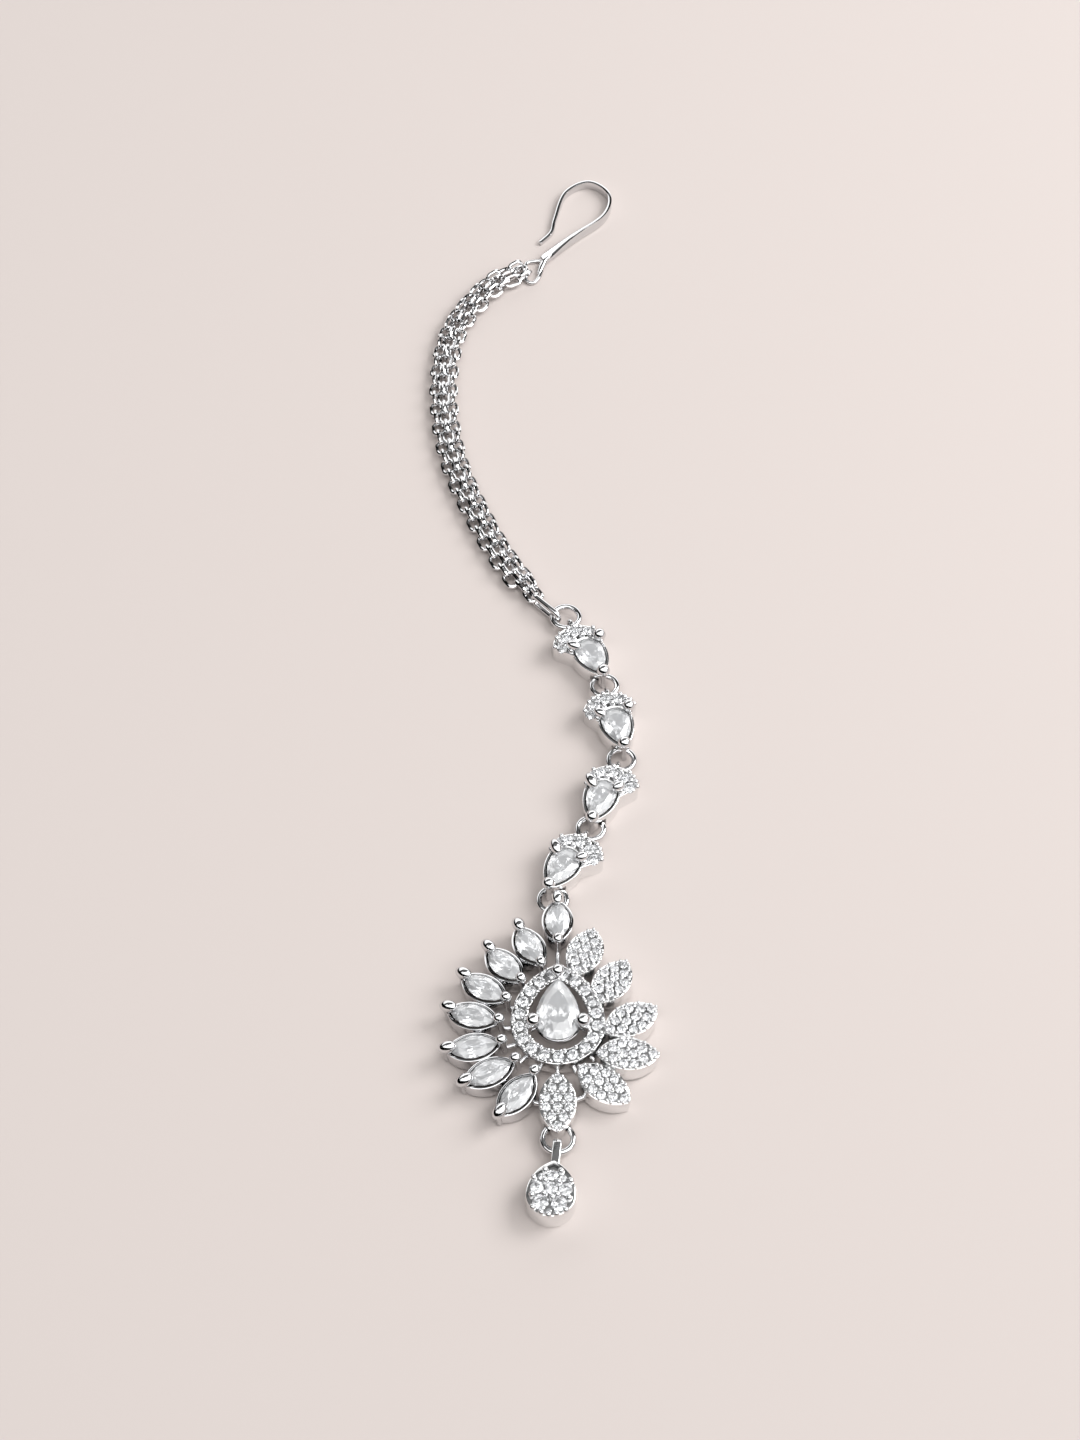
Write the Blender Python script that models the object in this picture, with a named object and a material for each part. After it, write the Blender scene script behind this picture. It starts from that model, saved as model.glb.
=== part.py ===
"""A maang tikka (head ornament) lying on a table, as an assembly of separate solids.

From the hair end to the forehead end it has a flat-wire hook with a soldered end ring, a
triple cable chain, four pear-stone links held by jump rings, a flower-shaped medallion with a
pear stone inside a halo and fourteen petals round it, and a small teardrop.

Run it with: blender --background --python part.py
Everything is worked out in millimetres and turned to metres when an object is made.
+Y runs from the drop to the hook, +Z is up, and the piece rests on z = 0.
"""

import math

import bmesh
import bpy
from mathutils import Matrix, Vector

MM = 0.001

# ---------------------------------------------------------------- driving dimensions, mm

# Stones: half width and the distance from the middle of the round end to the tip
CENTRE_PEAR = (2.45, 5.5)
LINK_PEAR = (1.75, 3.75)
# Marquise: half width and half length
MARQUISE = (1.42, 2.75)

CROWN_RISE = 0.16       # stone height above the girdle, over the stone's width
PAVILION_DROP = 0.40    # stone depth below the girdle, over the stone's width
TABLE_SHARE = 0.56      # table size over the girdle size
CULET_SHARE = 0.06      # flat foot of the stone over the girdle size
GIRDLE_HALF = 0.06

COLLAR = 0.42           # how far a setting's outer wall stands outside its stone
RIM = 0.24              # flat top of a setting's wall
BEARING_DEPTH = 0.8     # sloped seat inside a setting: its depth, and how far it runs in
BEARING_REACH = 0.6
CLAW_GAP = 0.12         # between a stone and the claw over it

# Jump rings lie flat; each passes round a post and through the next eyelet
RING_Z = 0.97
RING_WIRE = 0.27
RING_GAP = 0.2
LINK_RING_RADIUS = 1.55
FIRST_RING_RADIUS = 1.68
PENDANT_RING_RADIUS = 1.62
DROP_RING_RADIUS = 1.68
EYELET_RADIUS = 0.72
EYELET_WIRE = 0.22
EYELET_STEM = 1.1
EYELET_REACH = 4.7      # from the middle of a link's round end to its eyelet
FIRST_EYELET_EXTRA = 0.45

# Pear links: place of the tip post, compass heading of the tip in degrees from +X, and how
# far the pave crown leans to one side
PEAR_LINKS = (
    # name            tip x   tip y    heading  lean
    ("pear_link_1", 8.15, -7.5, -66.0, 0.75),
    ("pear_link_2", 10.5, -18.4, -76.5, 0.35),
    ("pear_link_3", 6.5, -29.1, -107.0, -0.8),
    ("pear_link_4", 1.4, -38.5, -117.0, -0.8),
)
LINK_TIP_POST = 4.25    # from the middle of the round end to the tip post
LINK_RIM_Z = 2.25
LINK_FLANK_Z = 2.0
LINK_CROWN_Z = 2.45
LINK_CROWN_RADIUS = 3.4
LINK_CROWN_BACK = 0.8
LINK_CROWN_ARC = (15.0, 165.0)  # degrees round the head
LINK_CROWN_END = 0.6            # where the crown and the flank stop, towards the tip
LINK_FLANK_END = (1.45, 2.5)
SHOULDER_ANGLE = 30.0
LINK_POST = 0.33
LINK_BALL = 0.59
LINK_CLAW_RISE = 0.97           # middle of a claw's ball above the stone's seat

# Medallion
MEDALLION = (2.45, -56.85)      # middle of the halo's round end
HALO = (5.3, 7.75)              # outer half width, and middle to tip
HALO_BAND = 1.85
HALO_BOTTOM, HALO_TOP = 0.9, 2.85
CENTRE_GIRDLE_Z = 3.35
CENTRE_POST, CENTRE_BALL = 0.42, 0.7
CENTRE_CLAW_FOOT = (3.6, -0.55, 1.6)
CENTRE_CLAW_HEAD = (2.75, -0.5, 4.3)
TIP_CLAW_FOOT = (0.0, 6.5, 1.6)
TIP_CLAW_HEAD = (0.0, 6.35, 3.7)
COLLET_TOP, COLLET_DEPTH = 3.0, 0.85
PETAL_TILT = 7.0
PETAL_HEIGHT = 2.2
BASKET_HEIGHT = 1.95
BASKET_POST = 0.3
PAVE_PETAL = (2.1, 3.6)         # half width and half length
PETAL_REACH = 3.65              # from a petal's middle to the edge it rests on
STRUT_Z, STRUT_RADIUS = 1.35, 0.42
BRIDGE_Z, BRIDGE_RADIUS = 0.9, 0.35

# Petals: bearing and distance of each middle from the halo's middle, and outward heading
PETALS = (
    # name         kind        bearing  distance  heading
    ("top", "marquise", 90.0, 13.65, 90.0),
    ("left_1", "marquise", 107.0, 10.75, 115.0),
    ("left_2", "marquise", 127.5, 9.75, 128.0),
    ("left_3", "marquise", 150.0, 9.4, 143.0),
    ("left_4", "marquise", 173.0, 9.4, 160.0),
    ("left_5", "marquise", 197.0, 9.6, 185.0),
    ("left_6", "marquise", 219.0, 9.55, 203.0),
    ("left_7", "marquise", 243.0, 9.75, 231.0),
    ("right_1", "pave", 72.0, 9.75, 72.5),
    ("right_2", "pave", 42.0, 8.0, 60.0),
    ("right_3", "pave", 3.5, 7.95, 33.0),
    ("right_4", "pave", -27.0, 8.4, 3.0),
    ("right_5", "pave", -57.5, 8.9, -36.0),
    ("right_6", "pave", -90.5, 9.65, -90.0),
)
BRIDGES = (("left_7", "right_6"), ("right_6", "right_5"))

# Teardrop
DROP = (1.6, -78.0)             # middle of its round end
DROP_HEADING = 84.5
DROP_SHAPE = (2.7, 4.1)
DROP_HEIGHT = 2.6
DROP_RING = (2.4, -70.45)
STRAP_HALF_WIDTH, STRAP_HALF_THICK = 0.5, 0.2
STRAP_RADIUS = 0.72             # of its round ends
STRAP_UP, STRAP_DOWN = 0.9, 1.6 # how far it reaches past the ring's wire, each way

# Triple chain, as one flattened tube along its route
CHAIN_WIDTH, CHAIN_HEIGHT = 3.4, 1.7
CHAIN_ROUTE = (
    (-2.6, 62.7), (-6.2, 60.1), (-10.6, 53.0), (-12.1, 45.4), (-11.9, 36.0),
    (-10.1, 26.7), (-6.3, 16.7), (-3.2, 10.5), (-0.9, 7.2),
)
CHAIN_POINTS = 24
CHAIN_SIDES = 10
CHAIN_END_SHARE = 0.6   # the strands gather at both ends
CHAIN_RING_ENDS = ((-0.35, 5.55), (2.75, 2.3))
CHAIN_RING_HEIGHT = 1.4

# Hook of flat wire standing on edge, and its D-shaped end ring
HOOK_ROUTE = (
    (0.4, 69.0), (2.0, 71.0), (2.5, 73.4), (4.0, 78.4), (7.3, 80.3),
    (10.0, 77.8), (9.2, 73.6), (4.7, 69.4), (0.8, 65.4),
)
HOOK_POINTS = 42
HOOK_THICKNESS = 0.5
HOOK_WIDTH = 1.3
HOOK_TIP_WIDTH = 0.55
HOOK_TIP_SHARE = 0.4    # share of the wire's length over which it narrows to its tip
END_RING_ROUTE = (
    (0.8, 65.3), (0.3, 62.5), (-0.6, 61.4), (-1.5, 62.2), (-1.5, 64.9), (-0.6, 65.5),
)
END_RING_POINTS = 18
END_RING_WIRE = 0.26

# ---------------------------------------------------------------- finishes

METAL, GEM = "rhodium plated brass", "cubic zirconia"
# colour, roughness, metallic
FINISHES = {
    METAL: ((0.80, 0.80, 0.81, 1.0), 0.12, 1.0),
    GEM: ((0.95, 0.96, 0.98, 1.0), 0.03, 0.0),
}
SMOOTH_ANGLE = 35.0     # degrees; sharper edges than this stay crisp
MERGE = 0.002           # corners closer than this become one, mm


def finish(name):
    """Return the material of that name, made on first use."""
    material = bpy.data.materials.get(name)
    if material:
        return material
    colour, roughness, metallic = FINISHES[name]
    material = bpy.data.materials.new(name)
    material.use_nodes = True
    shader = material.node_tree.nodes["Principled BSDF"]
    shader.inputs["Base Color"].default_value = colour
    shader.inputs["Roughness"].default_value = roughness
    shader.inputs["Metallic"].default_value = metallic
    return material


# ---------------------------------------------------------------- outlines

def polar(radius, degrees):
    """A point on the XY plane."""
    angle = math.radians(degrees)
    return Vector((radius * math.cos(angle), radius * math.sin(angle), 0.0))


def pear_outline(shape, grow, head_steps=10, flank_steps=5):
    """Pear with its tip on +Y: a half circle and two arcs tangent to it, grown outwards."""
    half, tip = shape
    flank = (half * half + tip * tip) / (2.0 * half)
    end = math.acos((flank - half) / (flank + grow))
    points = [polar(half + grow, 180.0 + 180.0 * i / head_steps) for i in range(head_steps + 1)]
    right = []
    for i in range(1, flank_steps):
        angle = end * i / flank_steps
        x = half - flank + (flank + grow) * math.cos(angle)
        right.append(Vector((x, (flank + grow) * math.sin(angle), 0.0)))
    points += right
    points.append(Vector((0.0, (flank + grow) * math.sin(end), 0.0)))
    points += [Vector((-p.x, p.y, 0.0)) for p in reversed(right)]
    return points


def marquise_outline(shape, grow, steps=8):
    """Two arcs that meet in points on +Y and -Y, grown outwards."""
    half, tip = shape
    radius = (half * half + tip * tip) / (2.0 * half)
    end = math.acos((radius - half) / (radius + grow))
    right = []
    for i in range(steps):
        angle = end * (2.0 * i / steps - 1.0)
        x = half - radius + (radius + grow) * math.cos(angle)
        right.append(Vector((x, (radius + grow) * math.sin(angle), 0.0)))
    return right + [Vector((-p.x, -p.y, 0.0)) for p in right]


def smooth_curve(points, count, closed=False):
    """Read count points from a Catmull-Rom curve through the given ones."""
    given = [Vector(p).to_3d() for p in points]
    spans = len(given) if closed else len(given) - 1
    result = []
    total = count if closed else count - 1
    for i in range(count):
        place = spans * i / total
        k = min(int(place), spans - 1)
        t = place - k
        if closed:
            a, b, c, d = (given[(k + j) % len(given)] for j in (-1, 0, 1, 2))
        else:
            b, c = given[k], given[k + 1]
            a = given[k - 1] if k > 0 else b + (b - c)
            d = given[k + 2] if k + 2 < len(given) else c + (c - b)
        result.append(0.5 * (2.0 * b + (c - a) * t + (2.0 * a - 5.0 * b + 4.0 * c - d) * t * t
                             + (3.0 * b - a - 3.0 * c + d) * t * t * t))
    return result


# ---------------------------------------------------------------- solids

def skin(loops, closed=False):
    """Join loops of equal length with quads; the open ends get flat caps."""
    bm = bmesh.new()
    rows = [[bm.verts.new(p) for p in loop] for loop in loops]
    pairs = list(zip(rows, rows[1:]))
    if closed:
        pairs.append((rows[-1], rows[0]))
    for low, high in pairs:
        count = len(low)
        for i in range(count):
            j = (i + 1) % count
            bm.faces.new((low[i], low[j], high[j], high[i]))
    if not closed:
        bm.faces.new(reversed(rows[0]))
        bm.faces.new(rows[-1])
    bmesh.ops.recalc_face_normals(bm, faces=bm.faces)
    return bm


def prism(outline, low, high):
    """Upright solid over an outline."""
    return skin([[p + Vector((0, 0, z)) for p in outline] for z in (low, high)])


def wall(outline, profile):
    """Closed wall round an outline; profile rows are growth and height, all the way round."""
    loops = [[p + Vector((0, 0, z)) for p in outline(grow)] for grow, z in profile]
    return skin(loops, closed=True)


def sweep(path, section, closed=False):
    """Carry a section along a path; section(i) gives offsets across and up."""
    loops = []
    count = len(path)
    for i, point in enumerate(path):
        before = path[i - 1] if (closed or i > 0) else point
        after = path[(i + 1) % count] if (closed or i < count - 1) else point
        along = (after - before).normalized()
        up = Vector((0, 0, 1)) if abs(along.z) < 0.9 else Vector((0, 1, 0))
        across = along.cross(up).normalized()
        up = across.cross(along)
        loops.append([point + across * u + up * v for u, v in section(i)])
    return skin(loops, closed)


def oval(half_width, half_height, sides):
    """Offsets of an oval section."""
    turns = [2.0 * math.pi * (i + 0.5) / sides for i in range(sides)]
    return [(half_width * math.cos(t), half_height * math.sin(t)) for t in turns]


def rod(points, radii, sides=6):
    """Round rod through points, with a radius at each."""
    path = [Vector(p) for p in points]
    return sweep(path, lambda i: oval(radii[i], radii[i], sides))


def ring(centre, radius, wire, upright=None, steps=18, sides=6):
    """Round wire ring, flat or standing in the plane of the direction upright."""
    middle = Vector(centre)
    first = Vector((1, 0, 0)) if upright is None else upright.normalized()
    second = Vector((0, 1, 0)) if upright is None else Vector((0, 0, 1))
    path = []
    for i in range(steps):
        angle = 2.0 * math.pi * i / steps
        path.append(middle + radius * (math.cos(angle) * first + math.sin(angle) * second))
    loops = []
    axis = first.cross(second)
    for point in path:
        out = (point - middle).normalized()
        loops.append([point + out * u + axis * v for u, v in oval(wire, wire, sides)])
    return skin(loops, closed=True)


def prong(foot, head, post, ball):
    """Upright post ending in a ball."""
    foot, head = Vector(foot), Vector(head)
    way = (head - foot).normalized()
    points = (foot, head - way * ball * 0.8, head, head + way * ball * 0.8)
    return rod(points, (post, post, ball, ball * 0.55), 6)


def claw(foot, shoulder, tip, post, ball):
    """Post that bends over a stone and ends in a long rounded claw."""
    foot, shoulder, tip = Vector(foot), Vector(shoulder), Vector(tip)
    way = (tip - shoulder).normalized()
    points = (foot, shoulder, (shoulder + tip) / 2.0, tip, tip + way * ball * 0.5)
    return rod(points, (post, ball * 0.9, ball, ball * 0.85, ball * 0.4), 6)


def stone(outline, width, girdle_z):
    """Faceted stone: table, crown, girdle and a pavilion drawn to the culet."""
    rim = outline(0.0)
    middle = sum(rim, Vector()) / len(rim)
    table = [middle + (p - middle) * TABLE_SHARE for p in rim]
    culet = [middle + (p - middle) * CULET_SHARE for p in rim]
    rows = (
        (culet, -PAVILION_DROP * width),
        (rim, -GIRDLE_HALF),
        (rim, GIRDLE_HALF),
        (table, CROWN_RISE * width),
    )
    return skin([[p + Vector((0, 0, girdle_z + z)) for p in row] for row, z in rows])


def setting(outline, base, top):
    """Open-backed wall with a bearing cut to the slope of the stone's pavilion."""
    lip = COLLAR - RIM
    profile = (
        (COLLAR, base),
        (COLLAR, top),
        (lip, top),
        (lip - BEARING_REACH, top - BEARING_DEPTH),
        (lip - BEARING_REACH, base),
    )
    return wall(outline, profile)


def moved(bm, matrix):
    """Place a shape."""
    bmesh.ops.transform(bm, matrix=matrix, verts=bm.verts)
    return bm


# ---------------------------------------------------------------- objects

def mesh_of(bm):
    """Turn a bmesh into a mesh datablock."""
    mesh = bpy.data.meshes.new("shape")
    bm.to_mesh(mesh)
    bm.free()
    return mesh


def fused(shapes, cuts=()):
    """Solder shapes into one closed mesh, then take the cuts out of it."""
    scene = bpy.context.scene.collection
    body = bpy.data.objects.new("body", mesh_of(shapes[0]))
    scene.objects.link(body)
    groups = []
    for operation, members in (("UNION", shapes[1:]), ("DIFFERENCE", cuts)):
        if not members:
            continue
        group = bpy.data.collections.new(operation)
        scene.children.link(group)
        for member in members:
            group.objects.link(bpy.data.objects.new("member", mesh_of(member)))
        modifier = body.modifiers.new(operation, "BOOLEAN")
        modifier.operation = operation
        modifier.solver = "EXACT"
        modifier.operand_type = "COLLECTION"
        modifier.collection = group
        groups.append(group)
    bpy.context.view_layer.update()
    depsgraph = bpy.context.evaluated_depsgraph_get()
    result = bpy.data.meshes.new_from_object(body.evaluated_get(depsgraph))
    for group in groups:
        for member in list(group.objects):
            bpy.data.objects.remove(member)
        bpy.data.collections.remove(group)
    bpy.data.objects.remove(body)
    bm = bmesh.new()
    bm.from_mesh(result)
    bmesh.ops.remove_doubles(bm, verts=bm.verts, dist=MERGE)
    bmesh.ops.dissolve_degenerate(bm, edges=bm.edges, dist=MERGE)
    return bm


def piece(name, bm, material):
    """Make the named object, in metres."""
    bmesh.ops.scale(bm, vec=(MM, MM, MM), verts=bm.verts)
    mesh = bpy.data.meshes.new(name)
    bm.to_mesh(mesh)
    bm.free()
    mesh.materials.append(finish(material))
    mesh.shade_smooth()
    mesh.set_sharp_from_angle(angle=math.radians(SMOOTH_ANGLE))
    made = bpy.data.objects.new(name, mesh)
    bpy.context.scene.collection.objects.link(made)
    return made


def channel(centre, radius, steps=20):
    """Ring-shaped cut that lets a flat jump ring pass round a post."""
    room = RING_WIRE + RING_GAP
    outer = [Vector(centre) + polar(radius + room, 360.0 * i / steps) for i in range(steps)]
    inner = [Vector(centre) + polar(radius - room, 360.0 * i / steps) for i in range(steps)]
    rows = ((outer, -1.0), (outer, RING_Z + room), (inner, RING_Z + room), (inner, -1.0))
    return skin([[p + Vector((0, 0, z)) for p in row] for row, z in rows], closed=True)


# ---------------------------------------------------------------- sub-parts

def build_hook():
    """Flat-wire hook standing on edge, soldered to its end ring."""
    path = smooth_curve(HOOK_ROUTE, HOOK_POINTS)

    def section(i):
        full = min(1.0, i / (HOOK_POINTS - 1) / HOOK_TIP_SHARE)
        width = HOOK_TIP_WIDTH + (HOOK_WIDTH - HOOK_TIP_WIDTH) * full
        return oval(HOOK_THICKNESS / 2.0, width / 2.0, 8)

    for i, point in enumerate(path):
        point.z = max(v for _, v in section(i))
    strip = sweep(path, section)
    loop_path = smooth_curve(END_RING_ROUTE, END_RING_POINTS, closed=True)
    for point in loop_path:
        point.z = END_RING_WIRE
    loop = sweep(loop_path, lambda i: oval(END_RING_WIRE, END_RING_WIRE, 6), closed=True)
    piece("hair_hook", fused([strip, loop]), METAL)


def build_chain():
    """Triple chain as one flattened tube; its links are too many to be solids."""
    path = smooth_curve(CHAIN_ROUTE, CHAIN_POINTS)
    profile = bpy.data.curves.new("chain_profile", "CURVE")
    profile.dimensions = "2D"
    edge = profile.splines.new("POLY")
    corners = oval(CHAIN_WIDTH / 2.0 * MM, CHAIN_HEIGHT / 2.0 * MM, CHAIN_SIDES)[::-1]
    edge.points.add(len(corners) - 1)
    for point, (u, v) in zip(edge.points, corners):
        point.co = (u, v, 0.0, 1.0)
    edge.use_cyclic_u = True
    guide = bpy.data.objects.new("chain_profile", profile)
    guide.hide_render = True
    guide.display_type = "WIRE"
    bpy.context.scene.collection.objects.link(guide)

    curve = bpy.data.curves.new("chain", "CURVE")
    curve.dimensions = "3D"
    curve.twist_mode = "Z_UP"
    curve.bevel_mode = "OBJECT"
    curve.bevel_object = guide
    curve.use_fill_caps = True
    route = curve.splines.new("POLY")
    route.points.add(len(path) - 1)
    for i, (point, place) in enumerate(zip(route.points, path)):
        point.co = (place.x * MM, place.y * MM, CHAIN_HEIGHT / 2.0 * MM, 1.0)
        from_end = min(i, len(path) - 1 - i)
        point.radius = CHAIN_END_SHARE + (1.0 - CHAIN_END_SHARE) * min(1.0, from_end / 2.0)
    curve.materials.append(finish(METAL))
    made = bpy.data.objects.new("chain", curve)
    bpy.context.scene.collection.objects.link(made)


def build_chain_ring():
    """Long jump ring that stands on edge between the chain and the first link's ring."""
    start, end = (Vector(p).to_3d() for p in CHAIN_RING_ENDS)
    along = (end - start).normalized()
    across = along.cross(Vector((0, 0, 1)))
    half = CHAIN_RING_HEIGHT / 2.0
    middle_z = half + RING_WIRE
    path = []
    for centre, first in ((end - along * half, -90.0), (start + along * half, 90.0)):
        for i in range(7):
            turn = math.radians(first + 30.0 * i)
            lift = Vector((0, 0, middle_z + half * math.sin(turn)))
            path.append(centre + along * half * math.cos(turn) + lift)
    loops = []
    count = len(path)
    for i, point in enumerate(path):
        way = (path[(i + 1) % count] - path[i - 1]).normalized()
        out = way.cross(across)
        loops.append([point + out * u + across * v for u, v in oval(RING_WIRE, RING_WIRE, 6)])
    piece("chain_ring", skin(loops, closed=True), METAL)


def link_frame(row):
    """Middle of a link's round end, its placing matrix and its tip post."""
    _, tip_x, tip_y, heading, _ = row
    tip = Vector((tip_x, tip_y, 0.0))
    middle = tip - polar(LINK_TIP_POST, heading)
    matrix = Matrix.Translation(middle) @ Matrix.Rotation(math.radians(heading - 90.0), 4, "Z")
    return middle, matrix, tip


def ring_places():
    """Centres and radii of the rings that hold the links, from the chain down."""
    places = []
    for k, row in enumerate(PEAR_LINKS):
        middle, matrix, _ = link_frame(row)
        if k == 0:
            towards = (matrix @ Vector((0.0, -1.0, 0.0)) - middle).normalized()
            radius = FIRST_RING_RADIUS
        else:
            towards = (link_frame(PEAR_LINKS[k - 1])[2] - middle).normalized()
            radius = LINK_RING_RADIUS
        reach = EYELET_REACH + (FIRST_EYELET_EXTRA if k == 0 else 0.0)
        places.append((middle + towards * (reach + radius), radius, middle + towards * reach))
    return places


def link_crown(lean):
    """Broad pave crown round a link's head and the flank that runs from it to the tip."""
    side = 1.0 if lean > 0.0 else -1.0
    centre = Vector((lean, -LINK_CROWN_BACK, 0.0))
    start, end = LINK_CROWN_ARC
    steps = 9
    arc = []
    for i in range(steps + 1):
        out = polar(LINK_CROWN_RADIUS, 180.0 + start + (end - start) * i / steps)
        arc.append(centre + Vector((side * out.x, out.y, 0.0)))
    inside = Vector((0.0, 1.0, 0.0))
    flank = arc + [Vector((side * LINK_FLANK_END[0], LINK_FLANK_END[1], 0.0)), inside]
    crown = arc + [Vector((side * LINK_PEAR[0], LINK_CROWN_END, 0.0)), inside]
    well = prism(pear_outline(LINK_PEAR, COLLAR - RIM / 2.0), -1.0, LINK_CROWN_Z + 1.0)
    return fused([prism(flank, 0.02, LINK_FLANK_Z), prism(crown, 0.0, LINK_CROWN_Z)], [well])


def build_link(k, places):
    """One pear link: setting, crown, three claws and an eyelet, with room for its rings."""
    row = PEAR_LINKS[k]
    name, _, _, _, lean = row
    middle, matrix, _ = link_frame(row)
    outline = lambda grow: pear_outline(LINK_PEAR, grow)
    shapes = [
        moved(setting(outline, 0.0, LINK_RIM_Z), matrix),
        moved(link_crown(lean), matrix),
    ]
    shoulder = LINK_PEAR[0] + CLAW_GAP + LINK_POST
    posts = (
        polar(shoulder, -SHOULDER_ANGLE),
        polar(shoulder, 180.0 + SHOULDER_ANGLE),
        Vector((0.0, LINK_TIP_POST, 0.0)),
    )
    for post in posts:
        foot = post + Vector((0, 0, 0.1))
        head = post * 0.98 + Vector((0, 0, LINK_RIM_Z + LINK_CLAW_RISE))
        shapes.append(moved(prong(foot, head, LINK_POST, LINK_BALL), matrix))
    eyelet = places[k][2]
    towards = (eyelet - middle).normalized()
    centre = eyelet + Vector((0, 0, RING_Z))
    shapes.append(ring(centre, EYELET_RADIUS, EYELET_WIRE, upright=towards, steps=12, sides=5))
    stem = centre - towards * EYELET_RADIUS
    shapes.append(rod((stem - towards * EYELET_STEM, stem), (EYELET_WIRE, EYELET_WIRE)))
    if k + 1 < len(PEAR_LINKS):
        cut_centre, radius, _ = places[k + 1]
    else:
        cut_centre, radius = pendant_ring_place()
    piece(name, fused(shapes, [channel(cut_centre, radius)]), METAL)
    gem = stone(outline, LINK_PEAR[0] * 2.0, LINK_RIM_Z)
    piece(name.replace("link", "stone"), moved(gem, matrix), GEM)


def petal_place(row):
    """Placing matrix of a petal: tip outwards along +Y, tilted down outwards."""
    _, _, bearing, distance, heading = row
    middle = Vector(MEDALLION).to_3d() + polar(distance, bearing)
    rise = PETAL_REACH * math.sin(math.radians(PETAL_TILT))
    turn = Matrix.Rotation(math.radians(heading - 90.0), 4, "Z")
    tilt = Matrix.Rotation(math.radians(-PETAL_TILT), 4, "X")
    return Matrix.Translation(middle + Vector((0, 0, rise))) @ turn @ tilt


def petal_tip(name, y):
    """World place of a point on a named petal's long axis."""
    row = next(r for r in PETALS if r[0] == name)
    return petal_place(row) @ Vector((0.0, y, 0.0))


def pendant_ring_place():
    """Ring round both the last link's tip post and the top petal's outer post."""
    post = petal_tip("top", MARQUISE[1] + CLAW_GAP + BASKET_POST)
    tip = link_frame(PEAR_LINKS[-1])[2]
    centre = (post + tip) / 2.0
    centre.z = 0.0
    return centre, PENDANT_RING_RADIUS


def build_petal(row):
    """Shapes of one petal: a basket with two claws, or a solid for pave."""
    _, kind, _, _, _ = row
    matrix = petal_place(row)
    if kind == "pave":
        outline = marquise_outline(PAVE_PETAL, 0.0, 9)
        return [moved(prism(outline, 0.0, PETAL_HEIGHT), matrix)]
    shapes = [setting(lambda grow: marquise_outline(MARQUISE, grow, 7), 0.0, BASKET_HEIGHT)]
    end = MARQUISE[1] + CLAW_GAP + BASKET_POST
    top = BASKET_HEIGHT
    shapes.append(claw((0, end, 0.1), (0, end + 0.05, top + 0.5), (0, end - 0.75, top + 0.95),
                       BASKET_POST, 0.55))
    shapes.append(prong((0, -end, 0.1), (0, -end + 0.1, top + 0.85), BASKET_POST, 0.5))
    return [moved(shape, matrix) for shape in shapes]


def build_medallion():
    """Halo, petals, centre claws and struts, soldered together, and their stones."""
    origin = Matrix.Translation(Vector(MEDALLION).to_3d())
    halo = lambda grow: pear_outline(HALO, grow, 18, 8)
    band = wall(halo, ((0.0, HALO_BOTTOM), (0.0, HALO_TOP), (-HALO_BAND, HALO_TOP),
                       (-HALO_BAND, HALO_BOTTOM)))
    shapes = [moved(band, origin)]
    for row in PETALS:
        shapes += build_petal(row)

    band_line = [origin @ p for p in halo(-HALO_BAND / 2.0)]
    for name, kind, _, _, _ in PETALS:
        length = MARQUISE[1] if kind == "marquise" else PAVE_PETAL[1]
        inner = petal_tip(name, 0.2 - length)
        inner.z = STRUT_Z
        anchor = min(band_line, key=lambda p: (p - inner).xy.length).copy()
        anchor.z = STRUT_Z
        if (anchor - inner).length > STRUT_RADIUS:
            shapes.append(rod((inner, anchor), (STRUT_RADIUS, STRUT_RADIUS)))
    for first, second in BRIDGES:
        start, end = petal_tip(first, 0.0), petal_tip(second, 0.0)
        start.z = end.z = BRIDGE_Z
        ends = (start.lerp(end, 0.25), start.lerp(end, 0.75))
        shapes.append(rod(ends, (BRIDGE_RADIUS, BRIDGE_RADIUS)))

    collet = lambda grow: pear_outline(CENTRE_PEAR, grow)
    low = COLLET_TOP - COLLET_DEPTH
    rail = wall(collet, ((0.0, low), (0.12, COLLET_TOP), (-0.14, COLLET_TOP), (-0.7, low)))
    shapes.append(moved(rail, origin))
    for side in (-1.0, 1.0):
        foot, head = (Vector(p) for p in (CENTRE_CLAW_FOOT, CENTRE_CLAW_HEAD))
        foot.x *= side
        head.x *= side
        shapes.append(moved(prong(foot, head, CENTRE_POST, CENTRE_BALL), origin))
        seat = Vector((side * (CENTRE_PEAR[0] - 0.15), -0.3, COLLET_TOP - COLLET_DEPTH / 2.0))
        shapes.append(moved(rod((foot, seat), (BRIDGE_RADIUS, BRIDGE_RADIUS)), origin))
    shapes.append(moved(prong(TIP_CLAW_FOOT, TIP_CLAW_HEAD, CENTRE_POST, CENTRE_BALL), origin))

    cuts = [channel(*pendant_ring_place()), channel(Vector(DROP_RING).to_3d(), DROP_RING_RADIUS)]
    piece("medallion", fused(shapes, cuts), METAL)

    gem = stone(collet, CENTRE_PEAR[0] * 2.0, CENTRE_GIRDLE_Z)
    piece("centre_stone", moved(gem, origin), GEM)
    rows = [row for row in PETALS if row[1] == "marquise"]
    for k, row in enumerate(rows, start=1):
        gem = stone(lambda grow: marquise_outline(MARQUISE, grow, 6), MARQUISE[0] * 2.0,
                    BASKET_HEIGHT)
        piece(f"marquise_stone_{k}", moved(gem, petal_place(row)), GEM)


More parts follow.
